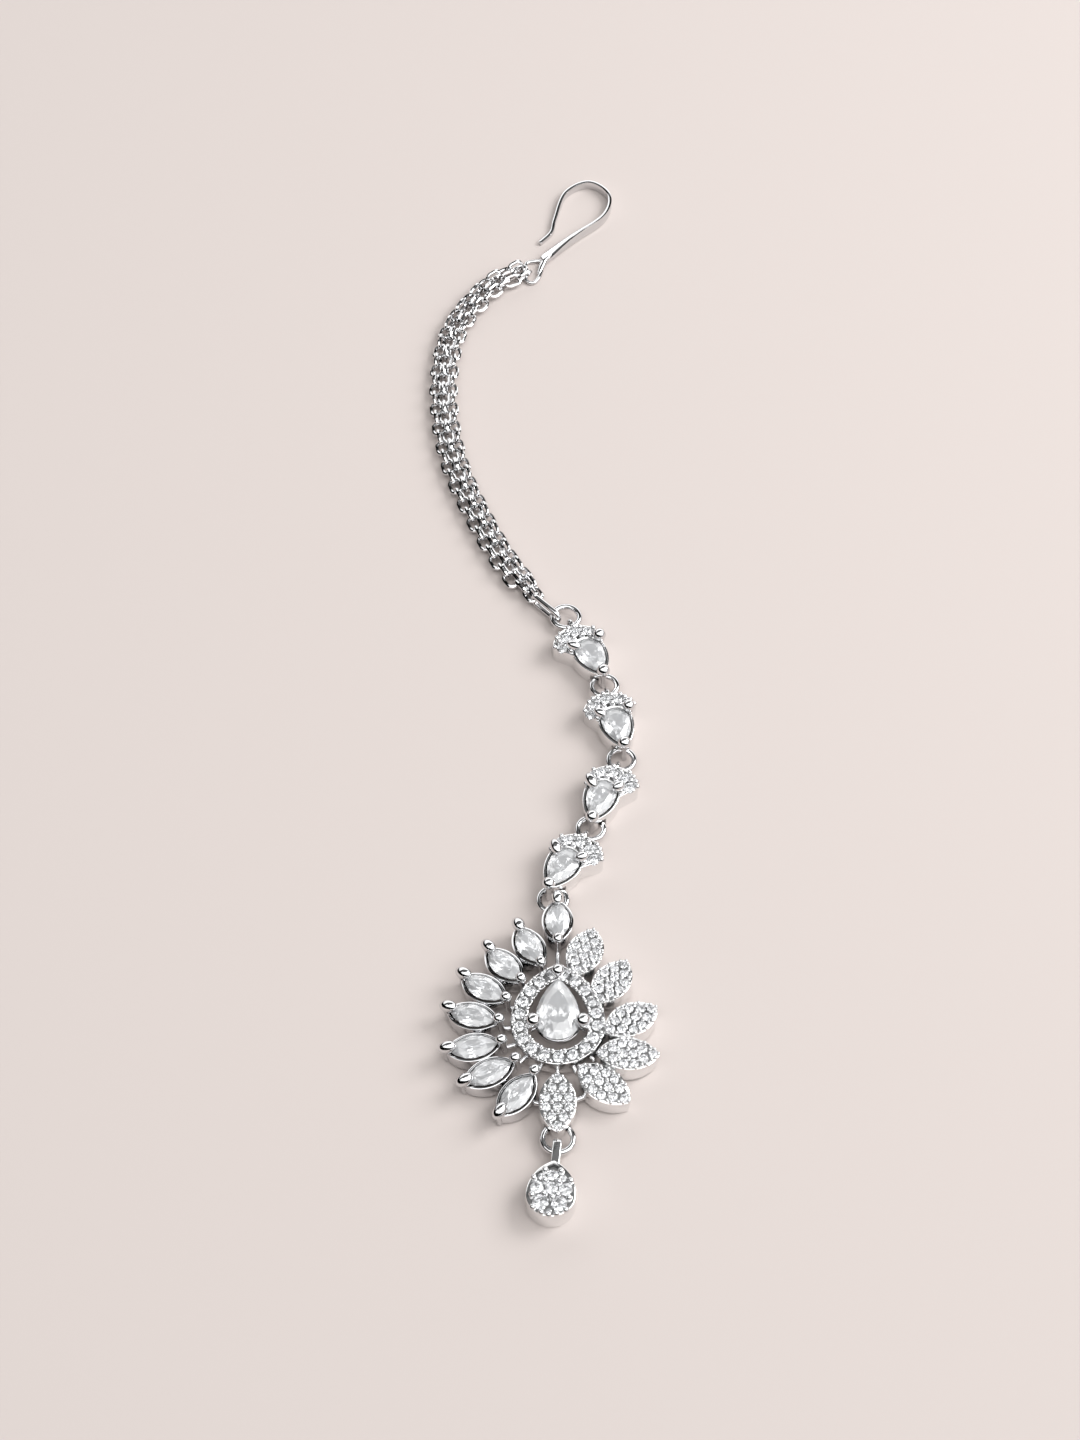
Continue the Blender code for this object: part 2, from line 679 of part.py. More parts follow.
def build_drop():
    """Solid teardrop with a strap loop over its ring."""
    origin = Vector(DROP).to_3d()
    turn = Matrix.Rotation(math.radians(DROP_HEADING - 90.0), 4, "Z")
    matrix = Matrix.Translation(origin) @ turn
    shapes = [moved(prism(pear_outline(DROP_SHAPE, 0.0, 14, 5), 0.0, DROP_HEIGHT), matrix)]
    ring_centre = matrix.inverted() @ Vector(DROP_RING).to_3d()
    wire_y = ring_centre.y - DROP_RING_RADIUS
    path = []
    for end_y, first in ((wire_y + STRAP_UP, -90.0), (wire_y - STRAP_DOWN, 90.0)):
        for i in range(5):
            out = polar(STRAP_RADIUS, first + 45.0 * i)
            path.append(Vector((ring_centre.x, end_y + out.x, RING_Z + out.y)))
    half, thick = STRAP_HALF_WIDTH, STRAP_HALF_THICK
    loops = []
    for i, point in enumerate(path):
        way = (path[(i + 1) % len(path)] - path[i - 1]).normalized()
        out = way.cross(Vector((1, 0, 0)))
        corners = ((thick, half), (-thick, half), (-thick, -half), (thick, -half))
        loops.append([point + out * u + Vector((v, 0, 0)) for u, v in corners])
    shapes.append(moved(skin(loops, closed=True), matrix))
    piece("drop", fused(shapes), METAL)


def main():
    """Clear the scene and build every sub-part."""
    for old in list(bpy.data.objects):
        bpy.data.objects.remove(old)
    build_hook()
    build_chain()
    build_chain_ring()
    places = ring_places()
    for k, (centre, radius, _) in enumerate(places, start=1):
        flat = centre + Vector((0, 0, RING_Z))
        piece(f"link_ring_{k}", ring(flat, radius, RING_WIRE), METAL)
        build_link(k - 1, places)
    centre, radius = pendant_ring_place()
    flat = centre + Vector((0, 0, RING_Z))
    piece("pendant_ring", ring(flat, radius, RING_WIRE), METAL)
    build_medallion()
    flat = Vector(DROP_RING).to_3d() + Vector((0, 0, RING_Z))
    piece("drop_ring", ring(flat, DROP_RING_RADIUS, RING_WIRE), METAL)
    build_drop()


main()
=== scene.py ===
"""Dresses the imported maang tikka: polished rhodium, faceted stones, pave and chain links.

Lengths in the classes are in millimetres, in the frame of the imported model: +Y runs from the
drop to the hook, +Z is up, and the piece lies on z = 0.
"""

import logging
import math
from dataclasses import dataclass, field
from enum import Enum
from typing import Callable, Iterable, Sequence

import bmesh
import bpy
from mathutils import Matrix, Vector

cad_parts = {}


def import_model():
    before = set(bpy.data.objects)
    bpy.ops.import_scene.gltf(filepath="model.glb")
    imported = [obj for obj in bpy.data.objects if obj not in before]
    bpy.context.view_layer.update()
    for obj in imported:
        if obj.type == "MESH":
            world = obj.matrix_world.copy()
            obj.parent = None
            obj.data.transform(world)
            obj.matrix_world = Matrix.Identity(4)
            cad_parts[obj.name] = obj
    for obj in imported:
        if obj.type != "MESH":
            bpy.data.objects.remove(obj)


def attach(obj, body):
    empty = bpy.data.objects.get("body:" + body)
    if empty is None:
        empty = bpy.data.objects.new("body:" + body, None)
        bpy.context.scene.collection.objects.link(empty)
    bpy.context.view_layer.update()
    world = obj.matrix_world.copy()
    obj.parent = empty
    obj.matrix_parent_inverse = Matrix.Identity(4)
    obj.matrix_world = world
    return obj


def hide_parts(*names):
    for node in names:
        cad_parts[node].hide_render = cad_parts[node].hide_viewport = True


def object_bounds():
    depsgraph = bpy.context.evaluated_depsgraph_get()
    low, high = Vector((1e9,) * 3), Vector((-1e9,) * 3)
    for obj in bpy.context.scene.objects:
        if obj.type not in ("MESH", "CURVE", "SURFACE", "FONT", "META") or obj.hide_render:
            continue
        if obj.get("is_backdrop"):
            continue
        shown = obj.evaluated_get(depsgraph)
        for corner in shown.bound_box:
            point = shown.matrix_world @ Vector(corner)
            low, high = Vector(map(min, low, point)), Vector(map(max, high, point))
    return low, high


LOG = logging.getLogger("maang_tikka")
MM = 0.001
UP = Vector((0.0, 0.0, 1.0))
Mesh = bmesh.types.BMesh
Placed = tuple[Vector, float]


# ------------------------------------------------------------------------------- materials


def linear(code: str) -> tuple[float, float, float, float]:
    """Turn an sRGB hex code into linear colour.

    Args:
        code: Six hex digits.

    Returns:
        Linear red, green, blue and an alpha of 1.
    """
    parts = [int(code[i:i + 2], 16) / 255.0 for i in (0, 2, 4)]
    red, green, blue = (c / 12.92 if c <= 0.04045 else ((c + 0.055) / 1.055) ** 2.4 for c in parts)
    return red, green, blue, 1.0


def add_node(tree: bpy.types.NodeTree, kind: str, settings: dict | None = None,
             links: dict | None = None) -> bpy.types.Node:
    """Add a node with its settings and the links into it.

    Args:
        tree: The node tree.
        kind: The node's type name.
        settings: Attribute or input name to value.
        links: Input name to the output socket that feeds it.

    Returns:
        The new node.
    """
    node = tree.nodes.new(kind)
    for name, value in (settings or {}).items():
        if name in node.inputs:
            node.inputs[name].default_value = value
        else:
            setattr(node, name, value)
    for name, socket in (links or {}).items():
        tree.links.new(socket, node.inputs[name])
    return node


@dataclass(frozen=True)
class MetalFinish:
    """A plated and polished metal surface.

    Attributes:
        name: Plain name of the metal and its finish.
        colour: sRGB hex code.
        rough_low: Roughness where the wheel polished it best.
        rough_high: Roughness where it did not reach as well.
        ripple_mm: Size of the slow waviness that casting leaves under the plate.
        ripple_depth: Strength of that waviness.
    """

    name: str
    colour: str
    rough_low: float
    rough_high: float
    ripple_mm: float
    ripple_depth: float

    def make(self) -> bpy.types.Material:
        """Build the material."""
        material = bpy.data.materials.new(self.name)
        material.use_nodes = True
        tree = material.node_tree
        shader = tree.nodes["Principled BSDF"]
        shader.inputs["Base Color"].default_value = linear(self.colour)
        shader.inputs["Metallic"].default_value = 1.0
        place = add_node(tree, "ShaderNodeTexCoord")
        polish = add_node(tree, "ShaderNodeTexNoise",
                          {"Scale": 1.0 / (1.6 * MM), "Detail": 3.0, "Roughness": 0.6},
                          {"Vector": place.outputs["Object"]})
        spread = add_node(tree, "ShaderNodeMapRange",
                          {"From Min": 0.3, "From Max": 0.7, "To Min": self.rough_low,
                           "To Max": self.rough_high},
                          {"Value": polish.outputs["Fac"]})
        tree.links.new(spread.outputs["Result"], shader.inputs["Roughness"])
        ripple = add_node(tree, "ShaderNodeTexNoise",
                          {"Scale": 1.0 / (self.ripple_mm * MM), "Detail": 1.0},
                          {"Vector": place.outputs["Object"]})
        bump = add_node(tree, "ShaderNodeBump",
                        {"Strength": self.ripple_depth, "Distance": 0.05 * MM},
                        {"Height": ripple.outputs["Fac"]})
        tree.links.new(bump.outputs["Normal"], shader.inputs["Normal"])
        return material


@dataclass(frozen=True)
class GemFinish:
    """A cut and polished clear stone.

    Attributes:
        name: Plain name of the stone.
        colour: sRGB hex code of its body.
        ior: Index of refraction.
        rough_high: Roughness in the faint haze left by the polishing lap.
        glow: Share of light scattered in every direction. It stands for the many short
            flashes inside a stone, which together lift its dark facets.
    """

    name: str
    colour: str
    ior: float
    rough_high: float
    glow: float

    def make(self) -> bpy.types.Material:
        """Build the material."""
        material = bpy.data.materials.new(self.name)
        material.use_nodes = True
        tree = material.node_tree
        shader = tree.nodes["Principled BSDF"]
        shader.inputs["Base Color"].default_value = linear(self.colour)
        shader.inputs["IOR"].default_value = self.ior
        shader.inputs["Transmission Weight"].default_value = 1.0 - self.glow
        place = add_node(tree, "ShaderNodeTexCoord")
        haze = add_node(tree, "ShaderNodeTexNoise", {"Scale": 1.0 / (0.9 * MM), "Detail": 2.0},
                        {"Vector": place.outputs["Object"]})
        spread = add_node(tree, "ShaderNodeMapRange",
                          {"From Min": 0.45, "From Max": 0.8, "To Max": self.rough_high},
                          {"Value": haze.outputs["Fac"]})
        tree.links.new(spread.outputs["Result"], shader.inputs["Roughness"])
        return material


class Finish(Enum):
    """The finishes of this piece."""

    # Rhodium plate over cast brass, buffed to a mirror: near white, with a faint slow ripple
    # where the casting was not flat, so that highlights wander a little. Its colour is set darker
    # than the same plate on the walls: painted shade that deepens its reflections.
    BUFFED = MetalFinish("rhodium_plate_buffed_painted_shade", "DCDCDD", 0.02, 0.06, 2.5, 0.10)
    # The same plate on walls and backs the wheel reaches less: softer, wider highlights.
    CAST_WALL = MetalFinish("rhodium_plate_cast_wall", "F0F0F0", 0.10, 0.22, 1.4, 0.22)
    # Drawn wire for rings, links and the hook: even and bright. Its colour is the buffed plate's
    # darker one, painted shade that deepens its reflections.
    WIRE = MetalFinish("rhodium_plate_drawn_wire_painted_shade", "DCDCDD", 0.03, 0.07, 3.0, 0.05)
    # Bright foil behind the larger stones, which throws the light that leaves them back up.
    FOIL = MetalFinish("silver_foil_backing", "F8F8F8", 0.02, 0.05, 1.5, 0.15)
    # Cubic zirconia: colourless, with a high index that throws hard white and dark facets.
    ZIRCONIA = GemFinish("cubic_zirconia_cut", "FCFDFF", 2.17, 0.02, 0.12)
    # The larger stones are cut with many more small facets, and look whiter for it.
    LARGE_ZIRCONIA = GemFinish("cubic_zirconia_large_cut", "FCFDFF", 2.17, 0.02, 0.36)


class Wardrobe:
    """Makes each finish once and gives it to pieces."""

    def __init__(self) -> None:
        """Start with nothing made."""
        self.made: dict[Finish, bpy.types.Material] = {}

    def get(self, finish: Finish) -> bpy.types.Material:
        """Return the finish's material, made on first use."""
        if finish not in self.made:
            self.made[finish] = finish.value.make()
        return self.made[finish]


WARDROBE = Wardrobe()


# ------------------------------------------------------------------------------- outlines


def polar(radius: float, degrees: float, z: float = 0.0) -> Vector:
    """Return the point at that radius and compass angle."""
    turn = math.radians(degrees)
    return Vector((radius * math.cos(turn), radius * math.sin(turn), z))


class OutlineKind(Enum):
    """The shapes stones and settings are cut to."""

    ROUND = "round"
    PEAR = "pear"
    MARQUISE = "marquise"


@dataclass(frozen=True)
class Outline:
    """A closed outline whose point or points lie on the Y axis.

    Attributes:
        kind: Which shape it is.
        half: Half its width.
        tip: Distance from the middle of the round end, or from the middle, to the tip.
    """

    kind: OutlineKind
    half: float
    tip: float = 0.0

    def point(self, share: float, grow: float = 0.0, z: float = 0.0) -> Vector:
        """Return a place on the outline.

        Args:
            share: How far round it is, from 0 to 1.
            grow: How far outwards the outline has grown.
            z: Height.

        Returns:
            The place.
        """
        if self.kind is OutlineKind.ROUND:
            return polar(self.half + grow, 360.0 * share, z)
        flank = (self.half ** 2 + self.tip ** 2) / (2.0 * self.half)
        end = math.acos((flank - self.half) / (flank + grow))
        if self.kind is OutlineKind.MARQUISE:
            side = 1.0 if share < 0.5 else -1.0
            turn = end * side * (4.0 * (share % 0.5) - 1.0)
        elif share <= 0.5:
            return polar(self.half + grow, 180.0 + 360.0 * share, z)
        else:
            side = 1.0 if share < 0.75 else -1.0
            turn = end * (1.0 - abs(4.0 * share - 3.0))
        across = self.half - flank + (flank + grow) * math.cos(turn)
        return Vector((side * across, (flank + grow) * math.sin(turn), z))

    def middle(self) -> Vector:
        """Return the point that its facets are drawn towards."""
        return Vector((0.0, 0.2 * self.tip if self.kind is OutlineKind.PEAR else 0.0, 0.0))

    def spread(self, count: int, grow: float, start: float) -> list[Placed]:
        """Spread places evenly round the outline.

        Args:
            count: How many.
            grow: How far outwards from the outline they lie.
            start: Share round the outline of the first.

        Returns:
            Places and their heading in degrees along the outline.
        """
        fine = [self.point((start + i / 720.0) % 1.0, grow) for i in range(721)]
        run = [0.0]
        for a, b in zip(fine, fine[1:]):
            run.append(run[-1] + (b - a).length)
        places = []
        k = 0
        for i in range(count):
            while run[k + 1] < run[-1] * i / count:
                k += 1
            way = fine[k + 1] - fine[k]
            share = (run[-1] * i / count - run[k]) / max(way.length, 1e-6)
            places.append((fine[k] + way * share, math.degrees(math.atan2(way.y, way.x))))
        return places


@dataclass
class Route:
    """A smooth curve through given points, read by length.

    Attributes:
        knots: The points it goes through.
        closed: Whether it comes back to its start.
    """

    knots: Sequence[Vector]
    closed: bool = False
    fine: list[Vector] = field(init=False, default_factory=list)
    run: list[float] = field(init=False, default_factory=list)

    def __post_init__(self) -> None:
        """Work out a fine line and its lengths."""
        knots = [Vector(k).to_3d() for k in self.knots]
        count = len(knots)
        spans = count if self.closed else count - 1
        for k in range(spans):
            if self.closed:
                a, b, c, d = (knots[(k + j) % count] for j in (-1, 0, 1, 2))
            else:
                b, c = knots[k], knots[k + 1]
                a = knots[k - 1] if k else 2.0 * b - c
                d = knots[k + 2] if k + 2 < count else 2.0 * c - b
            for i in range(24):
                t = i / 24.0
                self.fine.append(0.5 * (2.0 * b + (c - a) * t
                                        + (2.0 * a - 5.0 * b + 4.0 * c - d) * t * t
                                        + (3.0 * b - a - 3.0 * c + d) * t ** 3))
        self.fine.append(knots[0] if self.closed else knots[-1])
        self.run = [0.0]
        for a, b in zip(self.fine, self.fine[1:]):
            self.run.append(self.run[-1] + (b - a).length)

    @property
    def length(self) -> float:
        """Return the curve's length."""
        return self.run[-1]

    def at(self, distance: float) -> Vector:
        """Return the place at that distance along it, carried on straight past the ends."""
        k = 0
        while k < len(self.run) - 2 and self.run[k + 1] < distance:
            k += 1
        step = self.run[k + 1] - self.run[k]
        return self.fine[k].lerp(self.fine[k + 1], (distance - self.run[k]) / step)

    def even(self, count: int) -> list[Vector]:
        """Return that many evenly spaced places, the last one left out if it is closed."""
        last = count if self.closed else count - 1
        return [self.at(self.length * i / last) for i in range(count)]


# ------------------------------------------------------------------------------- mesh tools


def new_parts(out: dict) -> tuple[list[bmesh.types.BMVert], list[bmesh.types.BMEdge]]:
    """Return the vertices an operator made and the edges between them."""
    verts = [g for g in out["geom"] if isinstance(g, bmesh.types.BMVert)]
    known = set(verts)
    edges = [g for g in out["geom"]
             if isinstance(g, bmesh.types.BMEdge) and set(g.verts) <= known]
    return verts, edges


def shell(outline: Outline, profile: Sequence[tuple[float, float]], segments: int,
          ring: bool) -> Mesh:
    """Carry an outline up a profile to make a solid or a ring-shaped wall.

    Args:
        outline: The outline in plan.
        profile: Rows of growth and height, from the outer foot round.
        segments: Corners in the outline, a multiple of four.
        ring: Whether the last row joins the first; otherwise both ends are filled.

    Returns:
        The closed shape.
    """
    bm = bmesh.new()
    share = bm.verts.layers.float.new("share")
    made = bmesh.ops.create_circle(bm, cap_ends=False, segments=segments, radius=1.0)
    for i, vert in enumerate(made["verts"]):
        vert[share] = i / segments
    verts, edges = made["verts"], bm.edges[:]
    rows = list(profile) + ([profile[0]] if ring else [])
    for i, (grow, z) in enumerate(rows):
        if i:
            verts, edges = new_parts(bmesh.ops.extrude_edge_only(bm, edges=edges))
        for vert in verts:
            vert.co = outline.point(vert[share], grow, z)
    if ring:
        bmesh.ops.remove_doubles(bm, verts=bm.verts, dist=1e-4)
    else:
        bmesh.ops.holes_fill(bm, edges=[e for e in bm.edges if e.is_boundary], sides=0)
    bmesh.ops.recalc_face_normals(bm, faces=bm.faces)
    return bm


def sweep(path: Sequence[Vector], sizes: Sequence[tuple[float, float]], sides: int,
          closed: bool = False, leans: Sequence[float] | None = None,
          turn: float = 0.0) -> Mesh:
    """Carry an oval section along a path.

    Args:
        path: The middle line.
        sizes: Half width and half height of the section at each point.
        sides: Corners in the section.
        closed: Whether the path comes back to its start.
        leans: Degrees by which the section leans about the path at each point.
        turn: Degrees by which the section's first corner is turned in it.

    Returns:
        The closed shape.
    """
    stations = []
    count = len(path)
    for i, point in enumerate(path):
        before = path[i - 1] if closed or i else point
        after = path[(i + 1) % count] if closed or i < count - 1 else point
        along = (after - before).normalized()
        hint = UP if abs(along.z) < 0.95 else Vector((0.0, 1.0, 0.0))
        across = along.cross(hint).normalized()
        rise = across.cross(along)
        frame_of = Matrix((across, rise, -along)).transposed().to_4x4()
        lean = Matrix.Rotation(math.radians(leans[i] if leans else 0.0), 4, "Z")
        wide, high = sizes[i]
        stations.append(Matrix.Translation(point) @ frame_of @ lean
                        @ Matrix.Diagonal((wide, high, min(wide, high), 1.0)))
    bm = bmesh.new()
    first = Matrix.Rotation(math.radians(turn), 4, "Z")
    made = bmesh.ops.create_circle(bm, cap_ends=False, segments=sides, radius=1.0, matrix=first)
    verts, edges = made["verts"], bm.edges[:]
    bmesh.ops.transform(bm, matrix=stations[0], verts=verts)
    for last, station in zip(stations, stations[1:] + (stations[:1] if closed else [])):
        verts, edges = new_parts(bmesh.ops.extrude_edge_only(bm, edges=edges))
        bmesh.ops.transform(bm, matrix=station @ last.inverted(), verts=verts)
    if closed:
        bmesh.ops.remove_doubles(bm, verts=bm.verts, dist=0.003)
    else:
        bmesh.ops.holes_fill(bm, edges=[e for e in bm.edges if e.is_boundary], sides=0)
    bmesh.ops.recalc_face_normals(bm, faces=bm.faces)
    return bm


def strip(path: Sequence[Vector], sizes: Sequence[tuple[float, float]],
          leans: Sequence[float], soft: float) -> Mesh:
    """Carry a rectangle with rounded corners along a path.

    Args:
        path: The middle line.
        sizes: Half width and half height of the section at each point.
        leans: Degrees by which the section leans about the path at each point.
        soft: Rounding of the corners.

    Returns:
        The closed shape.
    """
    diagonal = [(wide * math.sqrt(2.0), high * math.sqrt(2.0)) for wide, high in sizes]
    bm = sweep(path, diagonal, 4, leans=leans, turn=45.0)
    long_edges = [e for e in bm.edges if all(len(f.verts) == 4 for f in e.link_faces)
                  and e.calc_face_angle() > math.radians(60.0)]
    bmesh.ops.bevel(bm, geom=long_edges, offset=soft, offset_type="OFFSET", affect="EDGES",
                    segments=2, profile=0.5, material=-1)
    return bm


def wire_ring(radius: float, wire: float, steps: int = 40, sides: int = 12) -> Mesh:
    """Spin a round section into a flat ring about the origin.

    Args:
        radius: To the middle of the wire.
        wire: Half the wire's thickness.
        steps: Sections round the ring.
        sides: Corners in the section.

    Returns:
        The closed ring.
    """
    bm = bmesh.new()
    start = Matrix.Rotation(math.pi / steps, 4, "Z") @ Matrix.Translation((radius, 0.0, 0.0))
    made = bmesh.ops.create_circle(bm, cap_ends=False, segments=sides, radius=wire,
                                   matrix=start @ Matrix.Rotation(math.pi / 2.0, 4, "X"))
    bmesh.ops.spin(bm, geom=made["verts"] + bm.edges[:], cent=(0.0, 0.0, 0.0),
                   axis=(0.0, 0.0, 1.0), dvec=(0.0, 0.0, 0.0), angle=2.0 * math.pi,
                   steps=steps, use_merge=True, use_duplicate=False)
    bmesh.ops.recalc_face_normals(bm, faces=bm.faces)
    return bm


def oval_ring(length: float, width: float, wire: float, steps: int, sides: int) -> Mesh:
    """Stretch a round ring into one with straight sides along Y.

    Args:
        length: Outer length.
        width: Outer width.
        wire: Half the wire's thickness.
        steps: Sections round it, a multiple of four.
        sides: Corners in the section.

    Returns:
        The closed ring.
    """
    bm = wire_ring(width / 2.0 - wire, wire, steps, sides)
    for way in (1.0, -1.0):
        half = [v for v in bm.verts if v.co.y * way > 0.0]
        bmesh.ops.translate(bm, vec=(0.0, way * (length - width) / 2.0, 0.0), verts=half)
    return bm


def ball(centre: Vector, radius: float, stretch: Vector | None = None, fine: int = 16) -> Mesh:
    """Make a ball, drawn out along a direction if one is given.

    Args:
        centre: Its middle.
        radius: Its radius across.
        stretch: Direction of its long axis, as long as the stretch factor.
        fine: Segments round it.

    Returns:
        The closed shape.
    """
    bm = bmesh.new()
    place = Matrix.Translation(centre)
    if stretch is not None:
        place = (place @ stretch.to_track_quat("Z", "Y").to_matrix().to_4x4()
                 @ Matrix.Diagonal((1.0, 1.0, stretch.length, 1.0)))
    bmesh.ops.create_uvsphere(bm, u_segments=fine, v_segments=fine * 5 // 8, radius=radius,
                              matrix=place)
    return bm


def copies(shape: Mesh, places: Iterable[Matrix]) -> Mesh:
    """Duplicate a shape to every place and drop the first one.

    Args:
        shape: The shape at the origin.
        places: Where the copies go.

    Returns:
        The same mesh, now holding the copies.
    """
    pattern = shape.verts[:] + shape.edges[:] + shape.faces[:]
    first = shape.verts[:]
    for place in places:
        verts, _ = new_parts(bmesh.ops.duplicate(shape, geom=pattern))
        bmesh.ops.transform(shape, matrix=place, verts=verts)
    bmesh.ops.delete(shape, geom=first, context="VERTS")
    return shape


def moved(shape: Mesh, place: Matrix) -> Mesh:
    """Move a shape to its place."""
    bmesh.ops.transform(shape, matrix=place, verts=shape.verts)
    return shape


def joined(shapes: Sequence[Mesh]) -> Mesh:
    """Join shapes into the first one."""
    for extra in shapes[1:]:
        mesh = bpy.data.meshes.new("extra")
        extra.to_mesh(mesh)
        extra.free()
        shapes[0].from_mesh(mesh)
        bpy.data.meshes.remove(mesh)
    return shapes[0]


def carved(shape: Mesh, cutter: Mesh) -> Mesh:
    """Cut one shape out of another.

    Args:
        shape: What is cut; it is used up.
        cutter: What is taken away; it is used up.

    Returns:
        What is left.
    """
    objects = []
    for part in (shape, cutter):
        mesh = bpy.data.meshes.new("carving")
        part.to_mesh(mesh)
        part.free()
        objects.append(bpy.data.objects.new("carving", mesh))
        bpy.context.scene.collection.objects.link(objects[-1])
    body, tool = objects
    cut = body.modifiers.new("cut", "BOOLEAN")
    cut.operation = "DIFFERENCE"
    cut.solver = "EXACT"
    cut.object = tool
    graph = bpy.context.evaluated_depsgraph_get()
    result = bmesh.new()
    result.from_mesh(body.evaluated_get(graph).data)
    for used in objects:
        bpy.data.meshes.remove(used.data)
    return result


def piece(name: str, shape: Mesh, finish: Finish, stands_for: Sequence[str] = (),
          crease: float = 35.0, flat: bool = False) -> bpy.types.Object:
    """Turn a shape into a finished piece of the model.

    Args:
        name: The piece's name.
        shape: Its shape, in millimetres; it is used up.
        finish: Its finish.
        stands_for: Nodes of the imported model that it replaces.
        crease: Edges sharper than this many degrees stay crisp.
        flat: Whether every facet stays flat.

    Returns:
        The object.
    """
    bmesh.ops.scale(shape, vec=(MM, MM, MM), verts=shape.verts)
    mesh = bpy.data.meshes.new(name)
    shape.to_mesh(mesh)
    shape.free()
    if not flat:
        mesh.shade_smooth()
        mesh.set_sharp_from_angle(angle=math.radians(crease))
    mesh.materials.append(WARDROBE.get(finish))
    made = bpy.data.objects.new(name, mesh)
    bpy.context.scene.collection.objects.link(made)
    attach(made, "root")
    if stands_for:
        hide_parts(*stands_for)
    LOG.info("%s: %d faces", name, len(mesh.polygons))
    return made


# ------------------------------------------------------------------------------- stones


@dataclass(frozen=True)
class StoneCut:
    """Facets of a stone, drawn over its outline; heights are shares of its width.

    Attributes:
        outline: The girdle's outline.
        corners: Corners of the girdle, a multiple of four.
        table: Size of the table over the girdle.
        crown: Height of the table over the girdle.
        depth: Depth of the point under the girdle.
    """

    outline: Outline
    corners: int = 16
    table: float = 0.56
    crown: float = 0.16
    depth: float = 0.42

    def row(self, scale: float, height: float, step: int, offset: float) -> list[Vector]:
        """Return one ring of corners, drawn towards the middle."""
        middle = self.outline.middle()
        width = 2.0 * self.outline.half
        corners = []
        for i in range(0, self.corners, step):
            corner = self.outline.point(((i + offset) / self.corners) % 1.0)
            corners.append(middle + (corner - middle) * scale + UP * height * width)
        return corners

    def build(self) -> Mesh:
        """Return the faceted stone with its girdle at z = 0."""
        rows = [
            self.row(self.table, self.crown, 2, 0.0),
            self.row(0.82, self.crown * 0.62, 2, 1.0),
            self.row(1.0, 0.015, 1, 0.0),
            self.row(1.0, -0.015, 1, 0.0),
            self.row(0.56, -0.57 * self.depth, 2, 1.0),
            self.row(0.05, -self.depth, 4, 0.0),
        ]
        bm = bmesh.new()
        for corner in sum(rows, []):
            bm.verts.new(corner)
        out = bmesh.ops.convex_hull(bm, input=bm.verts)
        loose = [g for g in out["geom_interior"] if isinstance(g, bmesh.types.BMVert)]
        bmesh.ops.delete(bm, geom=loose, context="VERTS")
        bmesh.ops.dissolve_limit(bm, angle_limit=math.radians(0.5), verts=bm.verts,
                                 edges=bm.edges)
        bmesh.ops.recalc_face_normals(bm, faces=bm.faces)
        return bm

    def foil(self, gap: float = 0.03) -> Mesh:
        """Return a thin cup that follows the stone's underside just below it."""
        bm = self.build()
        top = [v for v in bm.verts if v.co.z > 0.0]
        bmesh.ops.delete(bm, geom=top, context="VERTS")
        bmesh.ops.translate(bm, vec=-UP * gap, verts=bm.verts)
        bmesh.ops.solidify(bm, geom=bm.faces[:], thickness=gap)
        bmesh.ops.recalc_face_normals(bm, faces=bm.faces)
        return bm


@dataclass(frozen=True)
class Seat:
    """Where a small stone sits: the middle of its girdle and its radius."""

    spot: Vector
    radius: float


@dataclass(frozen=True)
class Pave:
    """Small round stones in drilled wells, held by beads raised between them.

    Attributes:
        seats: The stones.
        bead: Radius of each bead.
        edge: Places along the edge of the metal where beads may stand.
        reach: Gap between two stones below which they share beads.
        aside: Distance of a shared bead from the line between two stones.
    """

    seats: Sequence[Seat]
    bead: float = 0.23
    edge: Sequence[Vector] = ()
    reach: float = 0.5
    aside: float = 0.62

    def stones(self) -> Mesh:
        """Return the stones, each turned a little differently about its axis."""
        cut = StoneCut(Outline(OutlineKind.ROUND, 1.0), 8, 0.54, 0.17, 0.40)
        places = []
        for i, seat in enumerate(self.seats):
            place = Matrix.Translation(seat.spot + UP * 0.03) @ Matrix.Rotation(0.7 * i, 4, "Z")
            places.append(place @ Matrix.Scale(seat.radius, 4))
        return copies(cut.build(), places)

    def wells(self) -> Mesh:
        """Return the cutter that drills the wells."""
        bm = bmesh.new()
        bmesh.ops.create_cone(bm, cap_ends=True, segments=12, radius1=0.5, radius2=1.10,
                              depth=1.2)
        return copies(bm, [Matrix.Translation(seat.spot - UP * 0.42 * seat.radius)
                           @ Matrix.Scale(seat.radius, 4) for seat in self.seats])

    def spots(self) -> list[Vector]:
        """Return where the beads stand: between near stones, then along the edge."""
        wanted = []
        for i, a in enumerate(self.seats):
            for b in self.seats[i + 1:]:
                way = b.spot - a.spot
                if way.length < a.radius + b.radius + self.reach:
                    middle = a.spot + way * (a.radius / (a.radius + b.radius))
                    out = UP.cross(way).normalized() * self.aside
                    wanted += [middle + out, middle - out]
        found: list[Vector] = []
        for spot in wanted + list(self.edge):
            free = all((spot - f).length > 1.7 * self.bead for f in found)
            open_metal = all((spot - seat.spot).length > seat.radius + 0.1 * self.bead
                             for seat in self.seats)
            if free and open_metal:
                found.append(spot)
        return found

    def beads(self) -> Mesh:
        """Return the beads themselves."""
        bead = ball(Vector(), self.bead, fine=10)
        lift = UP * 0.4 * self.bead
        return copies(bead, [Matrix.Translation(p + lift) for p in self.spots()])


# ------------------------------------------------------------------------------- settings


